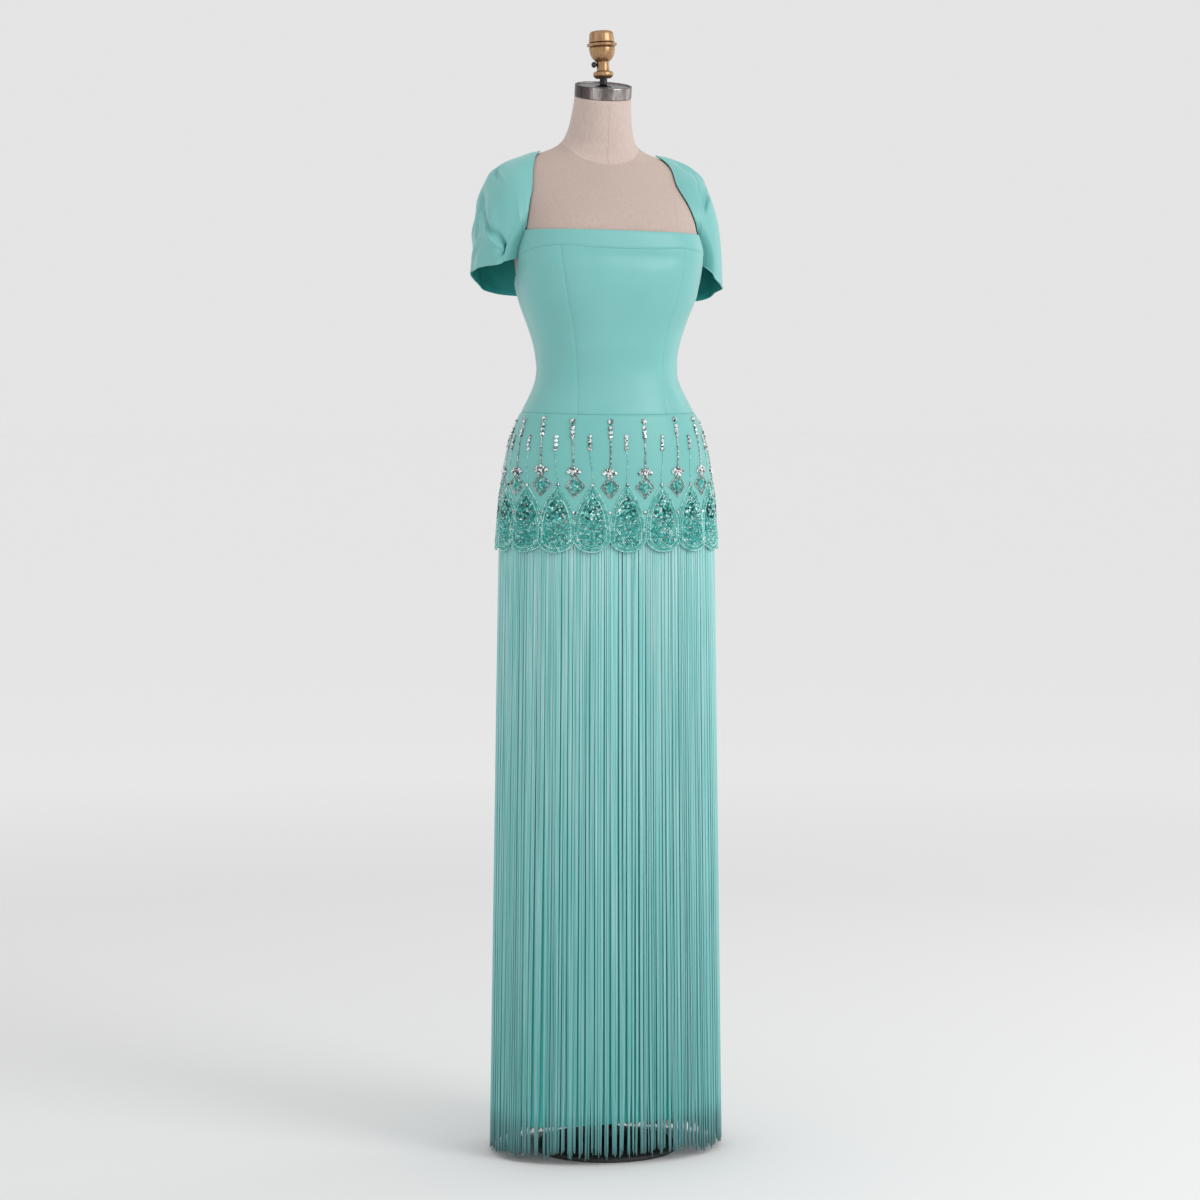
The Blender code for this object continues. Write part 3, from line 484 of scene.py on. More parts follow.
satin = satinMaterial("turquoiseSatin", (0.200, 0.538, 0.516), (0.180, 0.500, 0.478), 0.40)
# the sleeves' inside: a much darker copy of the satin, painted shade, on the duller, sheenless back of the
# cloth
shadedSatinInside = satinMaterial("shadedSatinInside", (0.028, 0.36, 0.335), (0.02, 0.32, 0.295), 0.7, 0.0)
beadedSatin = satinMaterial("beadedSatin", (0.185, 0.53, 0.50), (0.165, 0.49, 0.46), 0.42)
slipSatin = satinMaterial("slipSatin", (0.06, 0.52, 0.49), (0.05, 0.48, 0.45), 0.5, foldShade=(0.7, 0.9, 0.9))
tapeCloth = satinMaterial("zipTape", (0.12, 0.44, 0.40), (0.10, 0.40, 0.36), 0.7)
linen = linenMaterial()
fringeThread = fringeMaterial()
# the ramp's near-white end paints glints on a few beads; below it, the beads' mixed turquoise
seedGlass = beadMaterial("seedBeads", roughness=0.22, metallic=0.25, stops=[
    (0.0, (0.015, 0.25, 0.22)), (0.3, (0.04, 0.44, 0.40)), (0.62, (0.10, 0.59, 0.54)),
    (0.86, (0.28, 0.78, 0.72)), (1.0, (0.72, 0.94, 0.90)),
], coat=0.35)
lineGlass = beadMaterial("lineBeads", roughness=0.2, metallic=0.2, stops=[
    (0.0, (0.10, 0.50, 0.45)), (0.4, (0.28, 0.72, 0.66)), (0.8, (0.55, 0.90, 0.86)),
    (1.0, (0.85, 0.98, 0.96)),
], coat=0.5)
silverGlass = beadMaterial("silverBeads", roughness=0.18, metallic=0.85, stops=[
    (0.0, (0.10, 0.115, 0.11)), (0.35, (0.34, 0.36, 0.34)), (0.7, (0.70, 0.71, 0.68)),
    (1.0, (0.97, 0.97, 0.95)),
])
# the near-white cells are painted glints and the near-black ones painted dark reflections; between them, the
# foil's turquoise
sequinFoil = beadMaterial("sequins", roughness=0.2, metallic=0.5, stops=[
    (0.0, (0.0, 0.06, 0.05)), (0.3, (0.01, 0.20, 0.175)), (0.6, (0.04, 0.38, 0.34)),
    (0.86, (0.18, 0.64, 0.58)), (1.0, (0.75, 0.92, 0.90)),
], cells=300, coat=0.4)
# painted reflections: small cells near black or near white stand in for the dark facets and the sparkle of
# cut crystal
crystal = beadMaterial("crystals", roughness=0.08, metallic=0.85, stops=[
    (0.14, (0.02, 0.024, 0.028)), (0.36, (0.25, 0.27, 0.28)), (0.52, (0.90, 0.92, 0.93)),
    (0.9, (1.0, 1.0, 1.0)),
], cells=400, coat=1.0)
steel = reflectionBandedSteel()
darkDisc = metalMaterial(
    "capDisc", (0.125, 0.105, 0.115), (0.14, 0.118, 0.13), roughness=0.30, grain=60, metallic=0.0,
)
blackSteel = metalMaterial(
    "blackSteel", (0.015, 0.015, 0.016), (0.05, 0.05, 0.05), roughness=0.35, grain=300, metallic=0.8,
)
brass = brassMaterial()
thumbSteel = metalMaterial(
    "thumbSteel", (0.045, 0.045, 0.05), (0.12, 0.12, 0.125), roughness=0.12, grain=150,
)
iron = metalMaterial(
    "enamelledIron", (0.02, 0.02, 0.02), (0.05, 0.05, 0.05), roughness=0.5, grain=240, metallic=0.3,
)
zipMetal = metalMaterial(
    "zipMetal", (0.10, 0.40, 0.36), (0.18, 0.52, 0.47), roughness=0.3, grain=200, metallic=0.5,
)
print("materials made:", len(bpy.data.materials))


# The dress form
torso = {
    "low": 936, "top": 1643.2, "columns": 128, "levels": 124, "neckRows": (1528, 1582, 1.3),
    "foot": ((0, -14), (1.2, -9.5), (3, -5.6), (6, -2.4), (12, 0)),
    "under": 2.2, "underFrom": (-1424, -1405), "toneEdge": 1.6, "seamRadius": 0.3, "seamSteps": 90,
    "seams": (  # turn at the foot and at the top, the heights of both, how far out
        (0, 0, 1538, 1639, 0), (180, 180, 1446, 1639, 0),
        (-35, -43, 1434, 1492, -0.12), (35, 43, 1434, 1492, -0.12),
    ),
    "neckSeam": (
        (0, 1536), (8, 1538), (17, 1544.5), (32, 1554.5), (50, 1563), (75, 1569), (130, 1573), (180, 1574),
    ),
}


def seamTube(lines, radius, sides=6):
    # narrow raised seams along lines of points on a surface, all in one mesh
    angles = anglesRound(sides)
    tubes = []
    for line, normals in lines:
        side = unit(np.cross(unit(np.gradient(line, axis=0)), normals))
        ring = np.cos(angles)[:, None] * normals[:, None] + np.sin(angles)[:, None] * side[:, None]
        tubes.append((line[:, None] + ring * radius, tubeFaces(len(line), sides)))
    return joined(tubes)


def neckSeamZ(turn):
    return rowsAt(np.array(torso["neckSeam"], float), np.abs(turn))[:, 1]


def buildTorso():
    levels = [(torso["low"] + up, out) for up, out in torso["foot"]]
    fine = np.arange(*torso["neckRows"])  # close rows where the neck's cloth meets the chest's
    even = np.linspace(levels[-1][0], torso["top"], torso["levels"])[1:]
    even = even[(even < fine[0]) | (even > fine[-1])]
    levels += [(z, 0) for z in np.unique(np.concatenate([even, fine]))]
    heights, outs = np.array(levels).T
    outs = outs - torso["under"] * ramp(-heights, *torso["underFrom"])  # slimmer where the bodice hides it
    columns = torso["columns"]
    turns = np.arange(columns) * 360 / columns
    points = settled(figurePoint(heights[:, None], turns[None], outs[:, None]))
    faces = tubeFaces(len(levels), columns)
    form = addPiece("formTorso", points, faces, linen, "linen", nodes=["form_torso"])
    over = heights[:, None] - neckSeamZ(wrapped(turns))[None]
    tone = form.data.attributes.new("tone", "FLOAT", "POINT")
    tone.data.foreach_set("value", ramp(over, -torso["toneEdge"], torso["toneEdge"]).ravel())

    steps = torso["seamSteps"]
    routes = [
        (np.linspace(low, top, steps), np.linspace(turnLow, turnTop, steps), out)
        for turnLow, turnTop, low, top, out in torso["seams"]
    ]
    turn = np.linspace(-180, 180, 2 * steps)
    routes.append((neckSeamZ(turn), turn, 0))
    lines = [(settled(figurePoint(z, turn, out)), figureNormal(z, turn)) for z, turn, out in routes]
    addPiece("formSeams", *seamTube(lines, torso["seamRadius"]), linen, "linen")
    print("form made")


# Turned metal: radius and height, from the top down
cap = {
    "tilt": 13, "seat": (0, 20, 1640), "lift": 0.4, "steps": 128, "discTop": 19.6, "darkFrom": 21.2,
    "ring": (
        (41.4, 19.6), (41.45, 21.1), (41.8, 21.45), (43.4, 21.5), (43.95, 21.3), (44.25, 20.8), (44.3, 20),
        (44.3, 4.4), (44.15, 3.75), (43.7, 3.4), (41.2, 3.4), (41.2, 19.4), (41.4, 19.6),
    ),
    "disc": ((0, 19.6), (40.4, 19.6), (41.0, 19.3), (41.0, 3.6), (0, 3.6)),
    "hub": ((0, 2.1), (7.2, 2.1), (8.6, 1.7), (13.2, 0.5), (13.6, 0.12), (0, 0.12)),
}
finial = {
    "low": 1671, "foot": 0.8, "lean": -3, "steps": 96,
    "profile": (
        (0, 73), (11, 72.9), (14.5, 72.3), (16.8, 71.0), (18.1, 69.2), (18.6, 66.5), (19.2, 61), (19.8, 56.2),
        (19.5, 55.0), (18.6, 54.7), (18.7, 54.0), (21.6, 53.6), (23.0, 52.7), (23.4, 51.3), (23.1, 49.8),
        (21.7, 48.8), (19.2, 48.3), (18.8, 47.6), (20.0, 46.9), (19.9, 44), (19.5, 40.6), (18.7, 37),
        (17.3, 33.5), (15.4, 30.3), (13.4, 27.9), (11.7, 26.3), (10.4, 25.5), (9.9, 24.9), (9.8, 24),
        (9.8, 12.4), (10.2, 11.5), (9.9, 10.9), (11.9, 10.7), (14.2, 9.7), (15.3, 8.2), (15.8, 6.0),
        (15.5, 3.9), (14.6, 2.2), (13.2, 1.3), (12.6, 0.9), (12.4, 0), (0, 0),
    ),
    "rodRadius": 6.2, "threadDepth": 0.7, "threadPitch": 1.5, "rodFoot": 1.6, "rodBevels": (0.6, 0.5, 0.4),
    "knobHeight": 21, "stem": 9.8, "knobSteps": 48,
    "knob": (
        (0, 8.0), (1.3, 7.9), (2.7, 7.4), (3.9, 6.3), (4.6, 4.9), (4.7, 3.7), (4.3, 2.2), (3.4, 1.1),
        (2.4, 0.6), (1.8, 0.4), (1.7, 0), (0, 0),
    ),
}


def turnedMesh(profile, steps, base, axis, side):
    # the profile spun round axis at base; side is a direction square to the axis
    axis, side = unit(np.array(axis, float)), unit(np.array(side, float))
    other = np.cross(axis, side)
    points, faces, rings = [], [], []
    angles = anglesRound(steps)
    for radius, height in profile:
        start = len(points)
        if radius == 0:
            points.append(np.array(base) + axis * height)
            rings.append([start] * steps)
            continue
        for angle in angles:
            spoke = side * math.cos(angle) + other * math.sin(angle)
            points.append(np.array(base) + axis * height + spoke * radius)
        rings.append(list(range(start, start + steps)))
    for upper, lower in zip(rings, rings[1:]):
        for k in range(steps):
            corners = [upper[k], lower[k], lower[(k + 1) % steps], upper[(k + 1) % steps]]
            face = [c for i, c in enumerate(corners) if c not in corners[:i]]
            if len(face) > 2:
                faces.append(face)
    return points, faces


def turnedPiece(name, material, slot, nodes, profile, *stood, body=gownBody):
    # stood is the steps round, the base, the axis and the side, as turnedMesh takes them
    return addPiece(name, *turnedMesh(profile, *stood), material, slot, body, nodes)


def rodProfile(length):
    radius, (topBevel, firstDrop, footBevel) = finial["rodRadius"], finial["rodBevels"]
    rod = [(0, length), (radius - topBevel, length)]
    for k in range(int(length / finial["threadPitch"])):
        z = length - firstDrop - k * finial["threadPitch"]
        rod += [(radius, z), (radius - finial["threadDepth"], z - finial["threadPitch"] / 2)]
    return rod + [(radius - footBevel, 0), (0, 0)]


def buildHead():
    tilt = math.radians(cap["tilt"])
    normal = np.array([0, -math.sin(tilt), math.cos(tilt)])
    across, upright = (1, 0, 0), (0, 0, 1)
    seat = np.array(cap["seat"], float) + normal * cap["lift"]
    stood = (cap["steps"], seat, normal, across)
    rim = turnedPiece("neckCapRing", steel, "steel", ["neck_cap"], cap["ring"], *stood)
    # painted shade: the ring's narrow top takes the black steel, so a dark line runs along the rim in place
    # of the lamp's highlight
    rim.data.materials.append(blackSteel)  # the ring's narrow top is dark
    for face in rim.data.polygons:
        face.material_index = int((np.array(face.center) / mm - seat) @ normal > cap["darkFrom"])
    turnedPiece("neckCapDisc", darkDisc, "steel", [], cap["disc"], *stood)

    top = seat + normal * cap["discTop"]
    rodLow = top[2] + gown["seam"] + finial["rodFoot"]
    rod = rodProfile(finial["low"] - gown["seam"] - rodLow)
    rodMesh = turnedMesh(rod, finial["steps"], (top[0], top[1], rodLow), upright, across)
    hubMesh = turnedMesh(cap["hub"], finial["steps"], top, normal, across)
    addPiece("threadedRod", *joined([rodMesh, hubMesh]), blackSteel, "black_steel", nodes=["finial_rod"])

    lean = math.radians(finial["lean"])
    up = np.array([math.sin(lean), 0, math.cos(lean)])
    out = np.array([-math.cos(lean), 0, math.sin(lean)])
    foot = np.array([top[0], top[1], finial["low"] + finial["foot"]])
    stood = (finial["steps"], foot, up, -out)
    turnedPiece("brassFinial", brass, "antique_brass", ["finial"], finial["profile"], *stood)
    knobSeat = foot + up * finial["knobHeight"] + out * (finial["stem"] + gown["seam"])
    stood = (finial["knobSteps"], knobSeat, out, up)
    nodes = ["finial_thumb_screw"]
    turnedPiece("thumbScrew", thumbSteel, "thumb_steel", nodes, finial["knob"], *stood, body=screwBody)
    print("neck cap and finial made")


stand = {
    "steps": 96, "poleSteps": 48, "poleRadius": 12.5, "poleBevel": 0.5, "collarTop": 34,
    "base": (
        (0, 34), (17.6, 34), (18.8, 33.6), (19.7, 32.6), (20, 31), (20, 21.5), (20.6, 20), (22.6, 18.4),
        (26.5, 17), (60, 14.4), (98, 11), (106, 9.4), (110, 7.2), (112, 4), (112, 0.6), (111.6, 0), (0, 0),
    ),
}


def buildStand():
    directions = ((0, 0, 1), (1, 0, 0))
    stood = (stand["steps"], (0, 0, 0), *directions)
    turnedPiece("standBase", iron, "cast_iron", ["stand_base"], stand["base"], *stood)
    foot = stand["collarTop"] + gown["seam"]
    length = torso["low"] - gown["seam"] - foot
    radius, bevel = stand["poleRadius"], stand["poleBevel"]
    pole = [(0, length), (radius - bevel, length), (radius, length - bevel)]
    pole += [(radius, bevel), (radius - bevel, 0), (0, 0)]
    stood = (stand["poleSteps"], (0, 0, foot), *directions)
    turnedPiece("standPole", blackSteel, "black_steel", ["stand_pole"], pole, *stood)
    print("stand made")


# The bodice. A crease is its width and height, how much steeper one side is, then turns and heights.
bodice = {
    "columns": 32, "rows": 68, "seamDip": 0.55, "seamWide": 2.4, "lowDip": 2.2, "gap": 0.08,
    "rounds": 5,  # in which a panel's turns settle
    "turnScale": 2.35,  # millimetres round the body for a degree, for the creases
    "creases": (
        (10, -2.6, 0, -40, 1391, -14, 1391, 16, 1390, 38, 1392),
        (9, 0.9, 0.2, -80, 1352, -64, 1330, -48, 1318), (8, 0.6, 0.2, -86, 1300, -66, 1284, -50, 1276),
        (9, 0.8, -0.2, 82, 1350, 66, 1332, 52, 1322), (8, 0.6, 0, 86, 1296, 68, 1284, 54, 1278),
        (7, 0.7, 0, -92, 1232, -70, 1226, -44, 1228), (6, -0.5, 0, -84, 1208, -62, 1212, -40, 1210),
        (7, 0.7, 0, 90, 1230, 70, 1224, 46, 1226), (6, -0.5, 0, 86, 1206, 64, 1211, 44, 1208),
        (12, -0.5, 0, -24, 1398, -20, 1372, -22, 1346), (12, -0.4, 0, 22, 1398, 19, 1376, 22, 1350),
        (10, 0.9, 0.2, 112, 1316, 128, 1286, 150, 1262), (8, 0.9, 0.1, 176, 1236, 156, 1232, 132, 1238),
        (10, 0.8, 0.2, -114, 1312, -130, 1284, -152, 1260),
        (8, 0.8, 0, -176, 1226, -152, 1222, -128, 1228), (7, -0.6, 0, 172, 1210, 150, 1206, 124, 1212),
        (7, -0.6, 0, -174, 1204, -148, 1202, -122, 1208),
    ),
}


def hipDip(turn):
    # the hip seam hangs a little lower at the centre front
    return gown["hipDip"] * np.maximum(np.cos(np.radians(turn)), 0) ** 2


def princessTurn(z):
    return rowsAt(princessRows, z)[..., 1]


def frontEdge(turn):
    return rowsAt(frontEdgeRows, np.abs(turn))[..., 1]


def sideBackEdge(turn):
    return rowsAt(sideBackEdgeRows, turn)[..., 1]


def zipTurn(z):
    return 180 - np.degrees(np.arcsin(gown["zipHalf"] / rowsAt(figureRows, z)[..., 1]))


def seamRoll(distance):
    return -bodice["seamDip"] * bell(distance, bodice["seamWide"])


def panelPoints(edgeFrom, edgeTo, topOf, side, softEnd):
    # the edges and the top are functions; the turn settles in a few rounds, as each depends on the other
    seamLine = gown["hipSeam"] + gown["seam"] / 2
    u, v = np.meshgrid(edged(bodice["columns"]), edged(bodice["rows"]))
    way = u if side > 0 else 1 - u
    turn = edgeFrom(seamLine) + (edgeTo(seamLine) - edgeFrom(seamLine)) * way
    for _ in range(bodice["rounds"]):
        low = seamLine - hipDip(turn)
        z = low + (topOf(turn) - low) * v
        start = turnFor(z, edgeFrom(z), bodice["gap"] / 2)
        end = turnFor(z, edgeTo(z), -bodice["gap"] / 2)
        turn = start + (end - start) * way
    across = (end - start) * turnLength(z, turn)
    crease = creaseLift(side * turn, z, bodice["creases"], (bodice["turnScale"], 1))
    out = bodiceOut + crease + seamRoll(way * across) + bodice["lowDip"] * seamRoll(z - low)
    if softEnd:
        out = out + seamRoll((1 - way) * across)
    return settled(figurePoint(z, side * turn, out))


def buildBodice():
    def constant(turn):
        return lambda z: np.full(np.shape(z), float(turn))

    def wholeFront(z):
        return -princessTurn(z)

    def frontTop(turn):
        return frontEdge(turn) - bodice["gap"]

    def backTop(turn):
        return np.full(np.shape(turn), gown["backBandLow"] - gown["seam"], float)

    sideSeam, armhole = constant(90), constant(gown["armholeTurn"])
    panels = [("bodiceCentreFront", "bodice_centre_front", wholeFront, princessTurn, frontTop, 1, True)]
    for side, word in ((1, "Left"), (-1, "Right")):
        panels += [
            (f"bodice{part}{word}", f"bodice_{node}_{word.lower()}", start, end, top, side, softEnd)
            for part, node, start, end, top, softEnd in (
                ("SideFront", "side_front", princessTurn, sideSeam, frontTop, True),
                ("SideBack", "side_back", sideSeam, armhole, sideBackEdge, True),
                ("CentreBack", "centre_back", armhole, zipTurn, backTop, False),
            )
        ]
    for name, node, *panel in panels:
        clothShell(name, panelPoints(*panel), gown["wall"], satin, "satin", node)
    print("bodice made:", len(panels), "panels")


# The neckline bands. A ripple is its height and how many degrees make a radian of it, then its phase.
# The first fades at both edges of the band, and the top ripple grows towards the top.
band = {
    "columns": 150, "backColumns": 50, "rows": 16, "endLow": 79.6, "endTop": 71.0, "gap": 0.3,
    "edgeRound": 0.9, "topRound": 0.45, "edgeWide": 1.3,
    "ripple": (0.25, 9.0, 1.3), "topRipple": (0.2, 3.7),
}


def bandEndTurn(v):
    return band["endLow"] + (band["endTop"] - band["endLow"]) * v


def bandPoints(turn, z, low, top, ripple=0.0):
    # the band rolls over at its lower edge, and a little at its top
    out = bandOut + ripple
    for depth, distance in ((band["edgeRound"], z - low), (band["topRound"], top - z)):
        out = out - depth * bell(distance, band["edgeWide"])
    return settled(figurePoint(z, turn, out))


def buildBands():
    u, v = np.meshgrid(edged(band["columns"]), edged(band["rows"]))
    turn = (2 * u - 1) * bandEndTurn(v)
    low, top = frontEdge(turn), gown["bandTop"]
    (high, wave, phase), (topHigh, topWave) = band["ripple"], band["topRipple"]
    ripple = high * np.sin(turn / wave + phase) * np.sin(np.pi * v) + topHigh * np.sin(turn / topWave) * v
    points = bandPoints(turn, low + (top - low) * v, low, top, ripple)
    clothShell("bandFront", points, gown["bandWall"], satin, "satin", "neckline_band_front")
    low, top = gown["backBandLow"], gown["backBandTop"]
    for side, word in ((1, "Left"), (-1, "Right")):
        u, v = np.meshgrid(edged(band["backColumns"]), edged(band["rows"]))
        z = low + (top - low) * v
        start = turnFor(z, gown["armholeTurn"], band["gap"])
        end = turnFor(z, zipTurn(z), -band["gap"] / 2)
        turn = start + (end - start) * (u if side > 0 else 1 - u)
        points = bandPoints(side * turn, z, low, top)
        node = f"neckline_band_back_{word.lower()}"
        clothShell(f"bandBack{word}", points, gown["bandWall"], satin, "satin", node)
    print("neckline bands made")


# The cap sleeves. A way runs from 0 at the front seam to 1 at the back one. A rib is its way, neck height
# and neck turn, then its shoulder, arm and hem points. A pleat is its way at the top and at the hem,
# where it starts and ends, its width and height. A crease is its width, height and skew, then its ways
# and shares of the way down, which the scale turns into millimetres.
sleeve = {
    "columns": 138, "rows": 90, "gap": 0.6, "scale": (330, 190), "downLong": 1.35,
    "edgeRoll": 0.9, "edgeWide": 2.8, "hemFold": 0.6, "foldWide": 1.6, "stitchAt": 11, "stitchWide": 1.2,
    "pleatFade": 0.25, "seamFade": 0.05, "neckFade": (0.02, 0.15), "normalStep": 0.01,
    "left": (
        (0.17, 1462, 61.0, 150, -46, 1456, 170, -47, 1418, 166, -33, 1369),
        (0.34, 1507, 51.0, 158, -20, 1522, 190, -27, 1464, 184, -12, 1357),
        (0.43, 1538, 58.0, 168, 21, 1549, 198, 6, 1500, 193, 6, 1354),
        (0.51, 1556, 86.0, 176, 60, 1561, 203, 44, 1516, 199, 24, 1352),
        (0.67, 1532, 118.0, 163, 96, 1533, 199, 90, 1453, 195, 62, 1346),
        (0.84, 1482, 130.0, 149, 110, 1471, 174, 110, 1405, 174, 85, 1333),
    ),
    "right": (
        (0.17, 1462, 66.0, 150, -46, 1456, 170, -47, 1418, 172, -32, 1379),
        (0.34, 1507, 57.0, 158, -20, 1517, 192, -27, 1462, 197, -8, 1375),
        (0.43, 1538, 60.0, 168, 22, 1540, 198, 9, 1497, 207, 11, 1371),
        (0.51, 1556, 91.0, 174, 60, 1549, 200, 44, 1515, 211, 30, 1367),
        (0.67, 1532, 118.0, 162, 96, 1528, 197, 91, 1452, 185, 72, 1351),
        (0.84, 1482, 130.0, 148, 110, 1470, 171, 111, 1405, 154, 91, 1339),
    ),
    "rightPleats": (
        (0.5, 0.22, 0.35, 1.05, 0.055, 4.5),
        (0.56, 0.4, 0.45, 1.05, 0.05, 3.5),
        (0.66, 0.74, 0.4, 1.05, 0.055, 3.5),
    ),
    "leftPleats": ((0.56, 0.44, 0.5, 1.05, 0.055, 2), (0.66, 0.74, 0.4, 1.05, 0.055, 3.5)),
    "rightCreases": (
        (38, -9, 0, 0.17, 0.25, 0.17, 0.7, 0.18, 1.25), (24, -6, 0, 0.46, 0.45, 0.455, 0.75, 0.45, 1.15),
        (26, -3.6, 0, 0.5, 0, 0.49, 0.2, 0.48, 0.42),
        (2.8, 2.8, 0.2, 0.49, 0.28, 0.47, 0.33, 0.455, 0.375, 0.43, 0.38, 0.37, 0.365),
        (3.4, -3, 0, 0.5, 0.32, 0.475, 0.39, 0.445, 0.425, 0.41, 0.44),
        (2.8, -3.2, 0, 0.5, 0.6, 0.45, 0.68, 0.4, 0.74, 0.36, 0.775, 0.3, 0.775),
        (6.5, -7, 0, 0.41, 0.74, 0.34, 0.768, 0.265, 0.762, 0.2, 0.79, 0.18, 0.84),
        (5.5, -5, 0.2, 0.215, 0.77, 0.185, 0.81, 0.182, 0.86, 0.215, 0.92, 0.275, 0.97),
        (3, 4.2, 0.1, 0.42, 0.745, 0.37, 0.8, 0.3, 0.825, 0.235, 0.825, 0.2, 0.84, 0.195, 0.88),
        (2.8, 2.8, 0.1, 0.48, 0.915, 0.445, 0.885, 0.417, 0.863, 0.37, 0.842, 0.32, 0.825),
        (3.4, -3.2, 0, 0.48, 0.95, 0.45, 0.925, 0.42, 0.905, 0.38, 0.885),
        (3.2, -3.6, 0, 0.475, 0.64, 0.462, 0.71, 0.458, 0.765),
        (2.6, 2.6, 0, 0.43, 0.71, 0.45, 0.735, 0.475, 0.75),
        (3.6, -3.6, 0, 0.462, 0.78, 0.458, 0.83, 0.45, 0.88),
        (4.2, -3.2, 0, 0.5, 0.7, 0.54, 0.74, 0.6, 0.76), (4, 2.6, 0.2, 0.49, 0.8, 0.53, 0.83, 0.6, 0.84),
        (4.2, -2.8, 0, 0.49, 0.88, 0.53, 0.905, 0.6, 0.91),
        (3, 2, 0.3, 0.54, 0.3, 0.58, 0.335, 0.63, 0.35),
        (6, 2.2, 0.2, 0.62, 0.34, 0.66, 0.58, 0.74, 0.8),
        (6.5, -2, 0, 0.72, 0.4, 0.78, 0.62, 0.86, 0.84), (7, 1.6, 0.1, 0.8, 0.3, 0.84, 0.55, 0.9, 0.78),
    ),
    "leftCreases": (
        (46, -6, 0, 0.2, 0.2, 0.19, 0.62, 0.18, 1.25), (26, -8, 0, 0.47, 0.36, 0.45, 0.7, 0.44, 1.15),
        (26, -4.5, 0, 0.5, 0.02, 0.48, 0.2, 0.46, 0.42),
        (3.6, -2.6, 0, 0.475, 0.02, 0.457, 0.08, 0.43, 0.163, 0.42, 0.253, 0.385, 0.3),
        (4.4, 2.8, 0.2, 0.5, 0.08, 0.468, 0.18, 0.45, 0.27, 0.44, 0.36, 0.43, 0.44),
        (3.2, -1.4, 0, 0.41, 0.26, 0.36, 0.263, 0.31, 0.25),
        (4.2, -6, 0, 0.46, 0.52, 0.403, 0.46, 0.353, 0.423, 0.297, 0.383, 0.25, 0.34),
        (3.6, 2.4, 0.2, 0.43, 0.45, 0.393, 0.415, 0.333, 0.365, 0.277, 0.32, 0.22, 0.27),
        (9, 1.6, 0, 0.46, 0.6, 0.45, 0.76, 0.44, 0.92), (6, 2.3, 0.2, 0.6, 0.36, 0.66, 0.6, 0.75, 0.82),
        (6.5, -1.9, 0, 0.7, 0.44, 0.77, 0.66, 0.84, 0.86),
        (7, 1.5, 0, 0.82, 0.34, 0.86, 0.56, 0.91, 0.76),
    ),
}


def frontSeam(share):
    low = float(frontEdge(band["endLow"]))
    z = gown["bandTop"] + (low - gown["bandTop"]) * share
    return figurePoint(z, turnFor(z, bandEndTurn(1 - share), sleeve["gap"]), bodiceOut)


def backSeam(share):
    z = gown["backBandTop"] + (gown["armholeLow"] - gown["backBandTop"]) * share
    return figurePoint(z, turnFor(z, gown["armholeTurn"], -sleeve["gap"]), bodiceOut)


def sleeveRibs(word):
    frontTurn = float(turnFor(gown["bandTop"], band["endTop"], sleeve["gap"]))
    backTurn = float(turnFor(gown["backBandTop"], gown["armholeTurn"], -sleeve["gap"]))
    front = (0.0, gown["bandTop"], frontTurn, *frontSeam(1 / 3), *frontSeam(2 / 3), *frontSeam(1.0))
    back = (1.0, gown["backBandTop"], backTurn, *backSeam(1 / 3), *backSeam(2 / 3), *backSeam(1.0))
    return np.array([front, *sleeve[word], back], float)


def sleeveSmooth(ribs, u, v):
    row = rowsAt(ribs, u)
    neck = figurePoint(row[..., 1], row[..., 2]) + figureNormal(row[..., 1], row[..., 2]) * bodiceOut
    shoulder, arm, hem = row[..., 3:6], row[..., 6:9], row[..., 9:12]
    v = v[..., None]
    stay = 1 - v
    return neck * stay**3 + shoulder * 3 * stay * stay * v + arm * 3 * stay * v * v + hem * v**3


def sleeveLift(u, v, word):
    lift = np.zeros_like(u)
    for wayTop, wayLow, start, end, width, height in sleeve[word + "Pleats"]:
        way = wayTop + (wayLow - wayTop) * ramp(v, start, end)
        lift += height * ramp(v, start, start + sleeve["pleatFade"]) * bell(u - way, width)
    lift += creaseLift(u, v, sleeve[word + "Creases"], sleeve["scale"])
    down, stitchAt = sleeve["scale"][1], sleeve["stitchAt"]
    fromNeck, fromHem = v * down * sleeve["downLong"], (1 - v) * down * sleeve["downLong"]
    fold = bell(fromHem, sleeve["foldWide"]) - bell(fromHem - stitchAt, sleeve["stitchWide"])
    roll = sleeve["edgeRoll"] * bell(fromNeck, sleeve["edgeWide"]) + sleeve["hemFold"] * fold
    free = ramp(v, *sleeve["neckFade"])  # the neckline edge stays close to the form
    return (lift * free + roll) * ramp(np.minimum(u, 1 - u), 0, sleeve["seamFade"])


def buildSleeves():
    step = sleeve["normalStep"]
    for side, word in ((1, "left"), (-1, "right")):
        ribs = sleeveRibs(word)
        u, v = np.meshgrid(edged(sleeve["columns"]), edged(sleeve["rows"]))
        way, down = u if side > 0 else 1 - u, 1 - v
        ahead, behind = np.minimum(way + step, 1), np.maximum(way - step, 0)
        across = sleeveSmooth(ribs, ahead, down) - sleeveSmooth(ribs, behind, down)
        below, above = np.minimum(down + step, 1), np.maximum(down - step, 0)
        fall = sleeveSmooth(ribs, way, below) - sleeveSmooth(ribs, way, above)
        lift = sleeveLift(way, down, word)[..., None]
        points = sleeveSmooth(ribs, way, down) + unit(np.cross(fall, across)) * lift
        points[..., 0] *= side
        clothShell(
            f"sleeve{word.title()}", settled(points), gown["wall"], satin, "satin", f"sleeve_{word}",
            shadedInside=shadedSatinInside,
        )
    print("sleeves made")


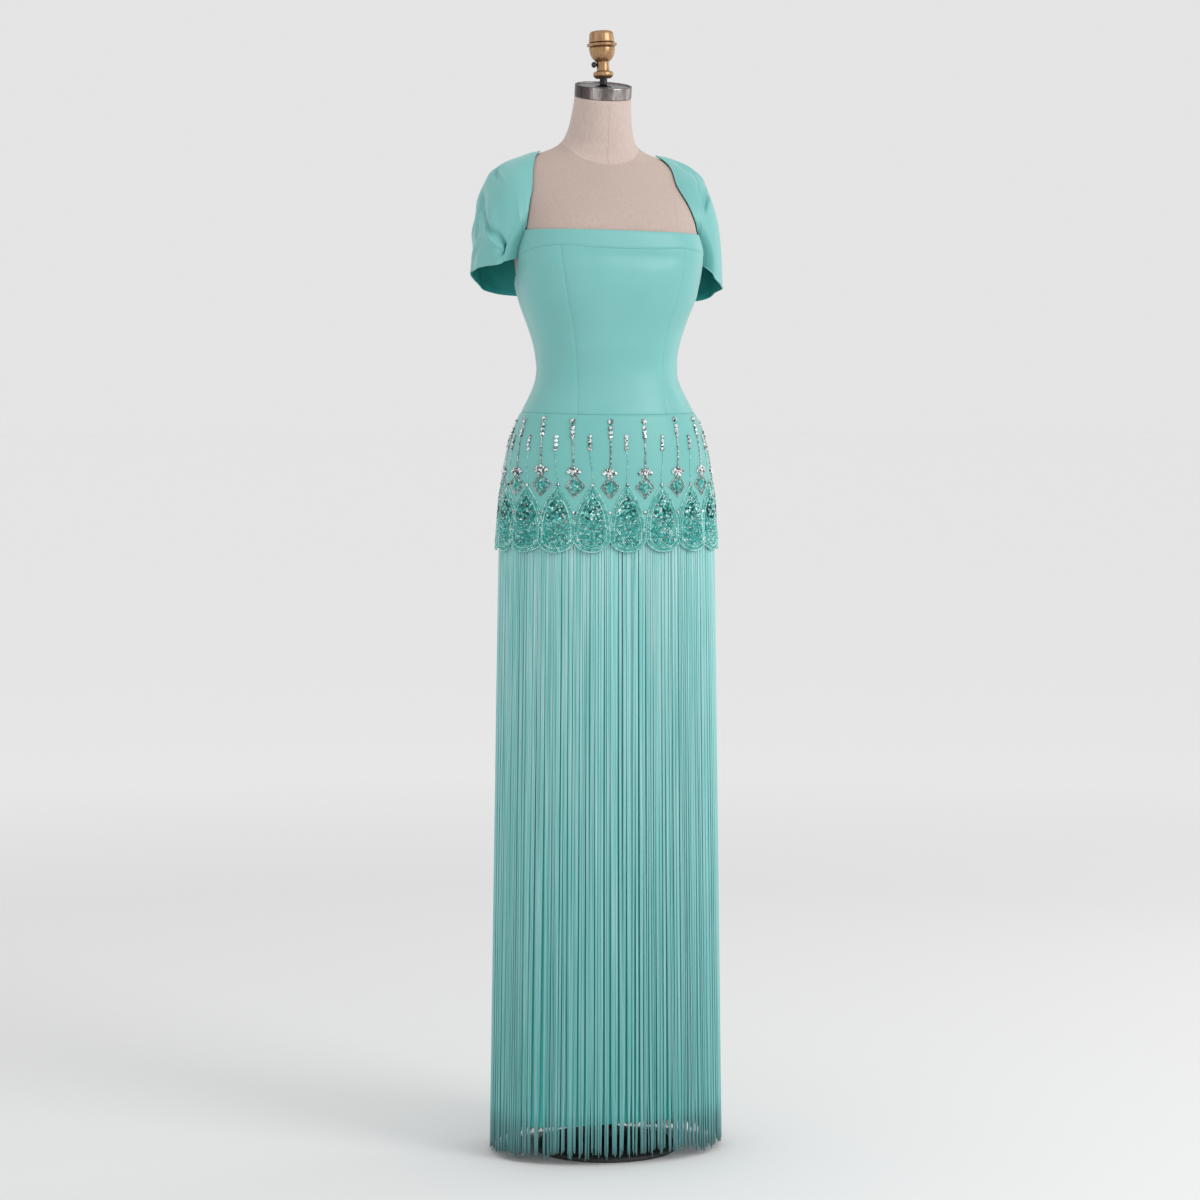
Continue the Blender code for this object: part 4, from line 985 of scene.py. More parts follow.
# The peplum
peplum = {
    "scallops": 18, "columnsAScallop": 22, "rows": 56, "top": 1155, "low": 942, "rise": 23, "roundness": 0.98,
    "wall": 1.6, "clears": 1030, "flare": 3.2, "overHeading": 1.9, "gather": (2.4, 1.0), "slitZ": 1000,
    # the teardrops' height, and where it fades: beside their edge in shares, and at their tips
    "raised": 1.3, "raisedEdge": (-0.16, 0.02), "raisedTip": (1036, 1044),
    # a wave round the hips: size, count, phase, then where it grows and fades on the way down
    "wave": (0.35, 7, 0.8), "waveFrom": (-1120, -1060), "waveTo": (-1060, -1040), "topRoll": (1.1, 2.6),
    # the teardrop's side: height, then share of half a scallop
    "teardrop": (
        (962, 0.96), (980, 0.955), (992, 0.90), (1003.5, 0.82), (1018, 0.61), (1027, 0.44), (1034, 0.29),
        (1043.7, 0.02),
    ),
}
pitchTurn = 360 / peplum["scallops"]
teardropRows = np.array(peplum["teardrop"])
patternTurns = np.linspace(-180, 180, fineSteps)
gather = np.where(patternTurns < 0, -peplum["gather"][0], peplum["gather"][1])
gather = gather * np.sin(np.pi * np.clip(np.abs(patternTurns), 0, 90) / 90)
gatheredTurns = patternTurns - gather  # the scallops stand closer at the front than an even count gives


def onBody(turn):
    return np.interp(wrapped(turn), patternTurns, gatheredTurns)


def scallopShare(turn):
    turn = np.interp(wrapped(turn), gatheredTurns, patternTurns)
    share = (turn % pitchTurn) / pitchTurn * 2
    return np.where(share <= 1, share, 2 - share)


def scallopLow(share):
    return peplum["low"] + peplum["rise"] * (1 - np.sqrt(1 - peplum["roundness"] * share * share))


def teardropHalf(z):
    return rowsAt(teardropRows, np.maximum(z, teardropRows[0, 0]))[..., 1]


def peplumRelief(z, turn):
    half, (inner, outer) = teardropHalf(z), peplum["raisedEdge"]
    inside = 1 - ramp(scallopShare(turn), half + inner, half + outer)
    return peplum["raised"] * inside * (1 - ramp(z, *peplum["raisedTip"]))


def peplumOuter(z, turn):
    out = bodiceOut + gown["seam"] + peplum["overHeading"] * ramp(-z, -peplum["top"], -peplum["clears"])
    out = out + peplum["flare"] * ramp(-z, -peplum["clears"], -peplum["low"]) ** 2
    (size, count, phase), (roll, rollWide) = peplum["wave"], peplum["topRoll"]
    wave = size * np.sin(np.radians(turn) * count + phase)
    out = out + wave * ramp(-z, *peplum["waveFrom"]) * (1 - ramp(-z, *peplum["waveTo"]))
    top = peplum["top"] - hipDip(turn)
    return out + peplum["wall"] + peplumRelief(z, turn) - roll * bell(top - z, rollWide)


def peplumPoint(z, turn, lift=0.0):
    return figurePoint(z, turn, peplumOuter(z, turn) + lift)


def peplumFrame(z, turn, lift=0.0, step=0.4):
    # the point on the peplum, and its axes: across to the right, up, and out of the cloth
    point = peplumPoint(z, turn, lift)
    across = unit(peplumPoint(z, turn + step) - peplumPoint(z, turn - step))
    up = peplumPoint(z + 1, turn) - peplumPoint(z - 1, turn)
    out = unit(np.cross(across, up))
    return point, np.stack([across, np.cross(out, across), out], axis=-2)


def buildPeplum(withPieces):
    columns = peplum["scallops"] * peplum["columnsAScallop"]
    slit = float(turnFor(peplum["slitZ"], -180, gown["seam"] / 2))
    turn = slit + -2 * slit * np.arange(columns + 1)[None] / columns
    low = scallopLow(scallopShare(turn))
    z = low + (peplum["top"] - hipDip(turn) - low) * edged(peplum["rows"])[:, None]
    clothShell(
        "peplum", peplumPoint(z, turn), peplum["wall"], beadedSatin, "beaded_satin", "beaded_peplum",
    )
    print("peplum made")


# Beadwork: small shapes set on the peplum, all of one kind in one mesh

def beadShape():
    # a round bead of twenty facets
    a, b = 0.5257, 0.8507
    points = np.array([
        (-a, 0, b), (a, 0, b), (-a, 0, -b), (a, 0, -b), (0, b, a), (0, b, -a),
        (0, -b, a), (0, -b, -a), (b, a, 0), (-b, a, 0), (b, -a, 0), (-b, -a, 0),
    ])
    faces = [
        (0, 1, 4), (0, 4, 9), (9, 4, 5), (4, 8, 5), (4, 1, 8), (8, 1, 10), (8, 10, 3), (5, 8, 3), (5, 3, 2),
        (2, 3, 7), (7, 3, 10), (7, 10, 6), (7, 6, 11), (11, 6, 0), (0, 6, 1), (6, 10, 1), (9, 11, 0),
        (9, 2, 11), (9, 5, 2), (7, 11, 2),
    ]
    return points, faces


def stoneShape(sides=8, pointed=0.0):
    # a cut stone in its cup: a table, a crown of facets, a girdle and a flat back
    angles = anglesRound(sides)
    narrow = 1 - pointed * np.abs(np.cos(angles)) ** 1.5

    def ring(radius, height, shift=0.0):
        a = angles + shift
        return np.stack([np.sin(a) * radius * narrow, np.cos(a) * radius, np.full(sides, height)], axis=1)

    rings = ((0.56, 0.62), (0.9, 0.34, math.pi / sides), (1.0, 0.18), (0.96, -0.3))
    points = np.concatenate([ring(*row) for row in rings])
    faces = [list(range(sides))[::-1], [3 * sides + k for k in range(sides)]]
    for k in range(sides):
        n = (k + 1) % sides
        crown, girdle, back = ((k + ring * sides, n + ring * sides) for ring in (1, 2, 3))
        faces += [
            (k, n, crown[0]), (n, crown[1], crown[0]), (*crown, girdle[1]), (crown[0], girdle[1], girdle[0]),
            (*girdle, back[1], back[0]),
        ]
    return points, faces


def sequinShape(sides=7, cup=0.22, thick=0.12):
    # a shallow cupped disc
    angles = anglesRound(sides)
    rim = np.stack([np.sin(angles), np.cos(angles), np.full(sides, cup)], axis=1)
    points = np.concatenate([rim, [(0, 0, 0.0), (0, 0, -thick)]])
    faces = []
    for k in range(sides):
        n = (k + 1) % sides
        faces += [(k, sides, n), (n, sides + 1, k)]
    return points, faces


def setOn(name, shape, spots, material, smooth):
    # the shape at each of the spots, which are points, axes and sizes (across, up, out)
    shapePoints, shapeFaces = shape
    points, axes, sizes = spots
    local = shapePoints[None] * sizes[:, None, :]
    placed = points[:, None, :] + np.einsum("nkj,njx->nkx", local, axes)
    count = len(shapePoints)
    faces = [[start * count + k for k in face] for start in range(len(points)) for face in shapeFaces]
    return addPiece(name, placed, faces, material, "beaded_satin", smooth=smooth)


def spun(axes, angle):
    # the axes turned within the cloth's plane
    c, s = math.cos(angle), math.sin(angle)
    across, up = axes[:, 0] * c + axes[:, 1] * s, axes[:, 1] * c - axes[:, 0] * s
    return np.stack([across, up, axes[:, 2]], axis=-2)


def leaning(groups, amount, rng):
    # one kind's spots together, where each leans its own way so that it catches the light on its own
    points, axes, sizes = (np.concatenate(each) for each in zip(*groups))
    lean = rng.normal(0, amount, (len(axes), 2))
    out = unit(axes[:, 2] + axes[:, 0] * lean[:, :1] + axes[:, 1] * lean[:, 1:])
    across = unit(np.cross(axes[:, 1], out))
    axes = np.stack([across, np.cross(out, across), out], axis=-2)
    return points, axes, sizes * rng.uniform(*beading["sizeSpread"], (len(sizes), 1))


def spaced(route, pitch):
    # even places along a route of (x, z) points
    route = np.asarray(route, float)
    length = lengthAlong(route)
    at = np.linspace(0, length[-1], max(int(length[-1] / pitch), 1) + 1)
    return np.stack([np.interp(at, length, route[:, k]) for k in (0, 1)], axis=1)


beading = {
    "seed": 42, "sizeSpread": (0.92, 1.08), "spread": 6.4, "spreadBend": 0.7,
    "hangsFrom": 1141, "hangsTo": 1045,
    # the pendant at each notch: crystals by height and size, then a chain by its top, low end, size and pitch
    "crystals": ((1140.6, 4.3), (1131.2, 3.5), (1124.4, 3.4), (1117.7, 3.4)), "crystalShift": 0.25,
    "chain": (1113.0, 1072, 1.75, 3.45), "chainBow": 0.5,
    "star": 1063.6, "petalWidth": 0.84, "starHeart": 4.1,
    "starPetals": (  # across, up, angle, half length
        (-8.2, 0.2, 90, 3.9), (8.2, 0.2, -90, 3.9), (-4.9, 4.0, 48, 3.0), (4.9, 4.0, -48, 3.0),
        (0, 5.9, 0, 2.6), (-3.2, -4.4, 150, 2.4), (3.2, -4.4, -150, 2.4),
    ),
    # the rhombus under the star: its middle, half width, half height and how far in the second line is
    "rhombus": (1040.8, 15.0, 17.4, 3.3), "rhombusSlope": 1.25, "rhombusBead": (1.2, 2.45),
    "rhombusFill": 0.62, "rhombusGrid": (-14, 15, 2.2), "rhombusShift": 0.25, "notchCrystal": (1003.5, 2.7),
    # hung one by one: degrees that a notch's pendant leans at its top, millimetres up at top, star and
    # rhombus
    "hangs": {
        14: (0, 2.5, 1.2, 5.0), 15: (0, 5.3, 4.6, 5.4), 16: (0, 2.0, 1.6, 2.8), 17: (2.4, 0.7, -1.0, 0.6),
        0: (-0.6, 1.0, -0.7, 0.4), 1: (0.4, 4.4, 1.2, 2.8), 2: (0, 4.2, 2.1, 5.0), 5: (0.8, 1.5, 0.6, 0.8),
        8: (-0.7, 2.2, 1.0, 1.6), 11: (0.5, 1.0, -0.6, 0.9),
    },
    # the spray above each teardrop, and its line by its top, low end, size and pitch
    "shortCrystals": (1118.8, 1112.6, 1106.4, 1100.2), "shortCrystal": 3.1, "shortShift": 0.3,
    "shortLine": (1095, 1048, 0.95, 2.1), "shortWander": (1.1, 5, 9), "tipCrystal": (1045.2, 2.6),
    # the teardrop's outline, where a size and a pitch go together, and what fills it; widths are read at
    # edgeZ and sideZ
    "outlineBead": (1.3, 2.5), "outlineInset": 5.6, "edgeIn": 1.6, "betweenPitch": 1.05, "fillMargin": 2.3,
    "routeSteps": (24, 16), "routeShares": (0.93, 0.0), "upperFrom": 1025, "lowerInset": 0.3,
    "tipMargin": 1.6, "edgeZ": 955, "sideZ": 1000,
    "fillBead": (1.38, 2.7), "sequin": (2.0, 3.0), "glint": 1.5, "fillAcross": (-26, 26.1),
    "archZ": 991, "archBend": 0.024,
    # heights, how close the rows lie, how far a place strays, and the share that is bright
    "seedGrid": (944, 1040, 0.88, 0.28, 0.09), "sequinGrid": (980, 1040, 0.85, 0.3, 0.04),
    "out": {  # how far out of the cloth the middle of each kind is
        "crystal": 0.9, "heart": 1.6, "tip": 1.0, "glint": 1.0, "silver": 0.5, "silverSeed": 0.7,
        "shortLine": 0.4, "outline": 0.6, "between": 0.0, "rhombusFill": 0.6, "seed": 0.55, "sequin": 0.7,
    },
}


def hangTurn(middle, z, extra=0.0):
    # the pendants hang straight where the hip narrows, so they stand wider apart at their tops
    side = wrapped(middle)
    bend = (np.abs(side) / 180) ** beading["spreadBend"]
    spread = beading["spread"] * np.sin(np.pi * bend) * np.sign(side)
    rise = (z - beading["hangsTo"]) / (beading["hangsFrom"] - beading["hangsTo"])
    return middle + (spread + extra) * np.clip(rise, 0, 1)


def spotsAt(places, middleTurn, kind, size, tall=None, extra=0.0, reach=5):
    # places are millimetres across from the motif's middle, and heights; the gathering is read over the
    # reach on both sides of it
    x, z = np.asarray(places, float).T
    narrowed = wrapped(onBody(middleTurn + reach) - onBody(middleTurn - reach))
    middle = hangTurn(np.full(len(x), float(onBody(middleTurn))), z, extra)
    turn = middle + x * narrowed / (2 * reach) / turnLength(z, middle)
    points, axes = peplumFrame(z, turn, beading["out"][kind])
    sizes = np.tile(np.array([size, size if tall is None else tall, size]), (len(x), 1))
    return points, axes, sizes


def halfPitch(z, turn=10.0):
    # half a scallop's width at this height, near the front
    return float(pitchTurn / 2 * turnLength(float(z), turn))


def teardropRoute(inset):
    # the right side of the outline from its tip to the middle of the scallop's edge
    side = []
    (steps, lowSteps), (edgeShare, middleShare) = beading["routeSteps"], beading["routeShares"]
    for z in np.linspace(teardropRows[-1, 0], teardropRows[0, 0], steps):
        down = 1 if z > beading["upperFrom"] else beading["lowerInset"]
        side.append((max(float(teardropHalf(z)) * halfPitch(z) - inset, 0.0), z - inset * down))
    wide = halfPitch(beading["edgeZ"])
    for share in np.linspace(edgeShare, middleShare, lowSteps):
        side.append((max(share * (wide - inset), 0.0), float(scallopLow(share)) + beading["edgeIn"] + inset))
    return side


def bothSides(route):
    return np.concatenate([route, route[1:-1] * (-1, 1)])


def insideTeardrop(x, z, margin):
    half = teardropHalf(z) * halfPitch(beading["sideZ"]) - margin
    share = np.abs(x) / halfPitch(beading["edgeZ"])
    bottom = scallopLow(np.clip(share, 0, 1)) + margin + beading["edgeIn"]
    top = teardropRows[-1, 0] - margin * beading["tipMargin"]
    return (np.abs(x) < half) & (z > bottom) & (z < top)


def fillPlaces(grid, pitch, rng):
    # staggered rows inside the teardrop, seeds under the arch and sequins over it: plain, then bright
    low, top, close, stray, share = beading[grid]
    heights = np.arange(low, top, pitch * close)
    x, z = np.meshgrid(np.arange(*beading["fillAcross"], pitch), heights)
    x = x + (np.arange(len(heights)) % 2)[:, None] * pitch / 2
    x = x + rng.normal(0, stray, x.shape)
    z = z + rng.normal(0, stray, z.shape)
    under = z < beading["archZ"] + beading["archBend"] * x**2
    keep = insideTeardrop(x, z, beading["outlineInset"] + beading["fillMargin"])
    keep = keep & (under if grid == "seedGrid" else ~under)
    places = np.stack([x[keep], z[keep]], axis=1)
    bright = rng.random(len(places)) < share
    return places[~bright], places[bright]


def hangPendant(groups, k, rng):
    # crystals, a chain, a star of petals and a rhombus, over the notch between two scallops
    notch = (k + 0.5) * pitchTurn
    extra, topUp, starUp, rhombusUp = beading["hangs"].get(k, (0, 0, 0, 0))
    for z, size in beading["crystals"]:
        place = (rng.normal(0, beading["crystalShift"]), z + topUp)
        groups["stones"].append(spotsAt([place], notch, "crystal", size, extra=extra))
    top, low, size, pitch = beading["chain"]
    top, low, star = top + topUp, low + starUp, beading["star"] + starUp
    chain = spaced([(0, top), (beading["chainBow"], (top + low) / 2), (0, low)], pitch)
    groups["silver"].append(spotsAt(chain, notch, "silver", size, extra=extra))
    for x, z, angle, long in beading["starPetals"]:
        points, axes, sizes = spotsAt([(x, star + z)], notch, "crystal", long * beading["petalWidth"], long)
        groups["petals"].append((points, spun(axes, math.radians(angle)), sizes))
    groups["stones"].append(spotsAt([(0, star)], notch, "heart", beading["starHeart"]))

    middle, halfWide, halfTall, inner = beading["rhombus"]
    middle = middle + rhombusUp
    size, pitch = beading["rhombusBead"]
    for inset in (0.0, inner * beading["rhombusSlope"]):
        wide, tall = halfWide - inset, halfTall - inset
        tip = (0, middle + tall)
        line = spaced([tip, (wide, middle), (0, middle - tall), (-wide, middle), tip], pitch)
        groups["silver"].append(spotsAt(line[:-1], notch, "silver", size))
    steps = np.arange(*beading["rhombusGrid"])
    grid = np.stack(np.meshgrid(steps, steps, indexing="ij")).reshape(2, -1).T
    grid = grid + rng.normal(0, beading["rhombusShift"], grid.shape)
    keep = np.abs(grid[:, 0]) / halfWide + np.abs(grid[:, 1]) / halfTall < beading["rhombusFill"]
    fill = spotsAt(grid[keep] + (0, middle), notch, "rhombusFill", beading["fillBead"][0])
    groups["fills"].append(fill)
    z, size = beading["notchCrystal"]
    groups["stones"].append(spotsAt([(0, z)], notch, "crystal", size))


def fillTeardrop(groups, k, rng):
    # the spray over a teardrop, its two outlines and the row between them, then seeds and sequins
    middle = k * pitchTurn
    (fillSize, fillPitch), (sequinSize, sequinPitch) = beading["fillBead"], beading["sequin"]
    for z in beading["shortCrystals"]:
        place = (rng.normal(0, beading["shortShift"]), z)
        groups["stones"].append(spotsAt([place], middle, "crystal", beading["shortCrystal"]))
    (top, low, size, pitch), (wide, bends, steps) = beading["shortLine"], beading["shortWander"]
    wander = [(wide * math.sin(t * bends + k), top + (low - top) * t) for t in np.linspace(0, 1, steps)]
    groups["lines"].append(spotsAt(spaced(wander, pitch), middle, "shortLine", size))
    z, size = beading["tipCrystal"]
    groups["stones"].append(spotsAt([(0, z)], middle, "tip", size))
    size, pitch = beading["outlineBead"]
    for inset in (0.0, beading["outlineInset"]):
        route = spaced(teardropRoute(inset), pitch)
        groups["lines"].append(spotsAt(bothSides(route), middle, "outline", size))
    between = spaced(teardropRoute(beading["outlineInset"] / 2), fillPitch * beading["betweenPitch"])
    groups["fills"].append(spotsAt(bothSides(between), middle, "between", fillSize))
    seeds = (("fills", "seed", fillSize), ("silver", "silverSeed", fillSize))
    sequins = (("sequins", "sequin", sequinSize), ("stones", "glint", beading["glint"]))
    for grid, pitch, kinds in (("seedGrid", fillPitch, seeds), ("sequinGrid", sequinPitch, sequins)):
        for places, (group, kind, size) in zip(fillPlaces(grid, pitch, rng), kinds):
            if len(places):
                groups[group].append(spotsAt(places, middle, kind, size))


def buildBeading():
    rng = np.random.default_rng(beading["seed"])
    groups = {name: [] for name in ("stones", "petals", "silver", "lines", "fills", "sequins")}
    for k in range(peplum["scallops"]):
        hangPendant(groups, k, rng)
        fillTeardrop(groups, k, rng)
    pieces = [
        setOn(name, shape, leaning(groups[group], amount, rng), material, smooth)
        for name, shape, group, amount, material, smooth in (
            ("crystalStones", stoneShape(), "stones", 0.10, crystal, False),
            ("starPetals", stoneShape(8, 0.25), "petals", 0.12, crystal, False),
            ("silverBeads", beadShape(), "silver", 0.2, silverGlass, True),
            ("outlineBeads", beadShape(), "lines", 0.2, lineGlass, True),
            ("seedBeads", beadShape(), "fills", 0.3, seedGlass, True),
            ("sequins", sequinShape(), "sequins", 0.35, sequinFoil, False),
        )
    ]
    print("beading made:", {piece.name: len(piece.data.polygons) for piece in pieces})
    return pieces


# The slip. Its waves are how many go round, their phase and size.
slip = {
    "columns": 126, "rows": 70, "edges": (0.0, 0.0015, 0.004), "hem": 50, "hemDip": 14, "hemTurn": 14,
    "waves": ((3, 0.6, 0.8), (5, 1.9, 0.5)), "waveDepth": 0.5, "waveMost": 1.3, "waveFrom": (-900, -500),
}


def buildSlip(withPieces):
    turn = (np.arange(slip["columns"]) * 360 / slip["columns"] - 180)[None]
    hem = slip["hem"] + slip["hemDip"] * np.maximum(np.cos(np.radians(turn - slip["hemTurn"])), 0)
    z = hem + (gown["hipSeam"] - gown["seam"] - hem) * edged(slip["rows"], slip["edges"])[:, None]
    wave = sum(size * np.sin(np.radians(turn) * count + phase) for count, phase, size in slip["waves"])
    out = bodiceOut - slip["waveDepth"] * ramp(-z, *slip["waveFrom"]) * (1 + wave / slip["waveMost"])
    clothShell(
        "slipSkirt", figurePoint(z, turn, out), gown["wall"], slipSatin, "slip_satin", "slip_skirt",
        closed=True,
    )
    print("slip made")


# The fringe. Its threads gather in clumps that drift, flick and end together. A layer is how far out it
# hangs at the heading, under it and at the floor. A change starts and ends on the way down at its From
# pair, in minus heights, or in shares of the way for pullFrom.
fringe = {
    "seed": 7, "strands": 500, "layers": ((3.75, 4.5, 4.6), (4.0, 5.9, 6.2)), "radius": 0.56, "sides": 5,
    "levels": (1000, 985, 955, 900, 780, 640, 500, 360, 220, 110, 60, 30),
    "halfTurn": 89.6, "measuredAt": 970, "measures": 2000,
    "inset": 1.0, "leastInset": 0.8,  # how near a half's edges a thread starts, and may come
    "hipFrom": (-990, -940), "floorFrom": (-900, 0), "looseFrom": (-990, -900),
    "placeShift": 0.3, "outShift": 0.25, "radiusSpread": (0.85, 1.12),
    "firstClump": 4, "clump": (2.4, 7.4), "pull": (0.12, 0.5), "pullFrom": (0.02, 0.6),
    "gatherFrom": (-115, -35),
    "endSide": 12, "endRagged": 2.7, "endLeast": 2.2, "lastStep": 6,
    "drift": 1.0, "bow": (5, 0.4), "flick": 1.8, "flickShares": (0.5, 0.6), "flickFrom": (-150, 0),
    "Front": {"middle": 0, "end": 20, "pulled": 1, "stray": 0.35, "gathered": 0.58},
    "Back": {"middle": 180, "end": 4, "pulled": 0, "stray": 2.2, "gathered": 0},
    # the heading's section by height and how far out, and its points round
    "heading": ((1004, 4.5), (992, 4.5), (992, 3.0), (1004, 3.0)), "headingColumns": 160,
}


def evenTurns(z, start, end, count):
    # turns at even places along the figure at this height, and the length from the first to the last
    turns = np.linspace(start, end, fineSteps)
    length = lengthAlong(figurePoint(z, turns))
    return np.interp(np.linspace(0, length[-1], count), length, turns), length[-1]


def fringeClumps(around, half, rng):
    # each clump's middle, pull, end, flick and drift
    centres = [rng.uniform(0, fringe["firstClump"])]
    while centres[-1] < around:
        centres.append(centres[-1] + rng.uniform(*fringe["clump"]))
    count = len(centres)
    pulls = rng.uniform(*fringe["pull"], count) * half["pulled"]
    ends = rng.normal(0, fringe["endRagged"], count)
    flicks = rng.normal(0, fringe["flick"], count)
    return np.array(centres), pulls, ends, flicks, rng.normal(0, fringe["drift"], (count, 3))


def fringeLayer(layer, turns, around, clumps, half, rng):
    # one layer's threads, each a closed tube along its own line
    centres, pulls, ends, flicks, drifts = clumps
    count, inset = fringe["strands"], fringe["inset"]
    measures = np.linspace(0, around, len(turns))
    place = np.linspace(inset, around - inset, count) + rng.normal(0, fringe["placeShift"], count)
    clump = np.abs(place[:, None] - centres[None]).argmin(axis=1)
    sideways = np.sin(np.radians(np.interp(place, measures, turns))) ** 2
    end = half["end"] + (fringe["endSide"] - half["end"]) * sideways
    end = np.maximum(end + ends[clump] + rng.normal(0, fringe["endRagged"], count), fringe["endLeast"])
    drift = drifts[clump] + rng.normal(0, half["stray"], (count, 3))
    outShift = rng.uniform(-fringe["outShift"], fringe["outShift"], count)[:, None]
    levels = np.array(fringe["levels"], float)
    z = np.concatenate([np.tile(levels, (count, 1)), end[:, None]], axis=1)
    z[:, -2] = np.maximum(z[:, -2], end + fringe["lastStep"])
    down = (levels[0] - z) / levels[0]

    held = pulls[clump][:, None] * (1 + ramp(down, *fringe["pullFrom"])) / 2
    held = held + np.maximum(half["gathered"] - held, 0) * ramp(-z, *fringe["gatherFrom"])
    (bends, bowSize), (together, alone) = fringe["bow"], fringe["flickShares"]
    shift = (centres[clump] - place)[:, None] * held
    shift = shift + drift[:, :1] * down + drift[:, 1:2] * np.sin(down * bends) * bowSize
    flick = flicks[clump][:, None] * together + drift[:, 2:] * alone
    shift = shift + flick * ramp(-z, *fringe["flickFrom"])
    along = np.clip(place[:, None] + shift, fringe["leastInset"], around - fringe["leastInset"])
    turn = np.interp(along, measures, turns)
    outTop, outHip, outLow = layer
    out = outTop + (outHip - outTop) * ramp(-z, *fringe["hipFrom"])
    out = out + (outLow - outHip) * ramp(-z, *fringe["floorFrom"]) + outShift * ramp(-z, *fringe["looseFrom"])
    return strandTubes(z, turn, out, fringe["radius"] * rng.uniform(*fringe["radiusSpread"], count))


def strandTubes(z, turn, out, radii, step=5):
    # a closed tube along each row of z, turn and out
    centre = figurePoint(z, turn, out)
    outward = unit(figurePoint(z, turn, out + step) - centre)
    side = np.cross(outward, (0, 0, 1))
    sides, (count, rows) = fringe["sides"], z.shape
    angles = anglesRound(sides)[:, None]
    ring = np.cos(angles) * outward[:, :, None] + np.sin(angles) * side[:, :, None]
    points = centre[:, :, None] + ring * radii[:, None, None, None]
    one = [face[::-1] for face in tubeFaces(rows, sides)]
    faces = [[strand * rows * sides + k for k in face] for strand in range(count) for face in one]
    return points, faces


def fringeHeading(start, end):
    columns, corners = fringe["headingColumns"], fringe["heading"]
    turns = np.linspace(start, end, columns)
    loops = np.stack([figurePoint(z, turns, out) for z, out in corners], axis=1)
    return loops, tubeFaces(columns, len(corners))


def fringeHalf(word, rng):
    half = fringe[word]
    start, end = half["middle"] - fringe["halfTurn"], half["middle"] + fringe["halfTurn"]
    turns, around = evenTurns(fringe["measuredAt"], start, end, fringe["measures"])
    clumps = fringeClumps(around, half, rng)
    meshes = [fringeLayer(layer, turns, around, clumps, half, rng) for layer in fringe["layers"]]
    meshes.append(fringeHeading(start, end))
    nodes = [f"fringe_{word.lower()}"]
    return addPiece(f"fringe{word}", *joined(meshes), fringeThread, "fringe_thread", nodes=nodes)


def buildFringe():
    rng = np.random.default_rng(fringe["seed"])
    halves = [fringeHalf(word, rng) for word in ("Front", "Back")]
    print("fringe made:", [len(half.data.polygons) for half in halves])
    return halves


# The zip at the centre back. A tooth is its width, depth and height.
zipper = {
    "top": 1439, "low": 1152.8, "tapeWall": 1.0, "rows": 120, "columns": 10,
    "tooth": (1.5, 0.8, 1.0), "toothPitch": 1.9, "toothEnds": (2, 22), "toothOut": 0.15, "toothAside": 0.32,
    "stitchPitch": 3.2, "stitchLong": 2.1, "stitchRadius": 0.18, "stitchSides": 5, "stitchEnds": (2, 4),
    "stitchOff": 3.6, "stitchBow": (-0.1, 0.1, 0.18, 0.1, -0.1),
}
tapeOut = gown["ease"] + zipper["tapeWall"]


def zipTeeth():
    # small blocks, set left and right by turns
    first, last = zipper["toothEnds"]
    corners = np.array([(x, y, h) for x in (-0.5, 0.5) for y in (0, 1) for h in (-0.5, 0.5)])
    corners = corners * zipper["tooth"]
    faces = [(0, 1, 3, 2), (4, 6, 7, 5), (0, 4, 5, 1), (2, 3, 7, 6), (0, 2, 6, 4), (1, 5, 7, 3)]
    aside = zipper["tooth"][0] * zipper["toothAside"]
    meshes = []
    for k, height in enumerate(np.arange(zipper["low"] + first, zipper["top"] - last, zipper["toothPitch"])):
        middle = settled(figurePoint(height, 180.0, tapeOut + zipper["toothOut"]))
        meshes.append((middle + np.array([aside if k % 2 else -aside, 0, 0]) + corners, faces))
    print("zip teeth:", len(meshes))
    return addPiece("zipTeeth", *joined(meshes), zipMetal, "zip_metal", smooth=False)


def zipStitches():
    first, last = zipper["stitchEnds"]
    bow = np.array(zipper["stitchBow"])
    lines = []
    for side in (-1, 1):
        for height in np.arange(zipper["low"] + first, gown["backBandLow"] - last, zipper["stitchPitch"]):
            z = np.linspace(height, height + zipper["stitchLong"], len(bow))
            turn = side * turnFor(z, zipTurn(z), -zipper["stitchOff"])
            lines.append((settled(figurePoint(z, turn, bodiceOut + bow)), figureNormal(z, turn)))
    tubes = seamTube(lines, zipper["stitchRadius"], zipper["stitchSides"])
    addPiece("zipStitches", *tubes, tapeCloth, "zip_tape")


def buildZip():
    teeth = zipTeeth()
    zipStitches()
    u, v = np.meshgrid(np.linspace(0, 1, zipper["columns"]), np.linspace(0, 1, zipper["rows"]))
    z = zipper["low"] + (zipper["top"] - zipper["low"]) * v
    half = 180 - turnFor(z, zipTurn(z), gown["seam"])
    points = settled(figurePoint(z, 180 + (2 * u - 1) * half, tapeOut))
    clothShell(
        "zipTape", points, zipper["tapeWall"], tapeCloth, "zip_tape", "zip_tape",
    )
    for name in ("zip_slider", "zip_pull"):
        node = frame["nodes"][name]
        node.data.materials.clear()
        node.data.materials.append(zipMetal)
    print("zip made")


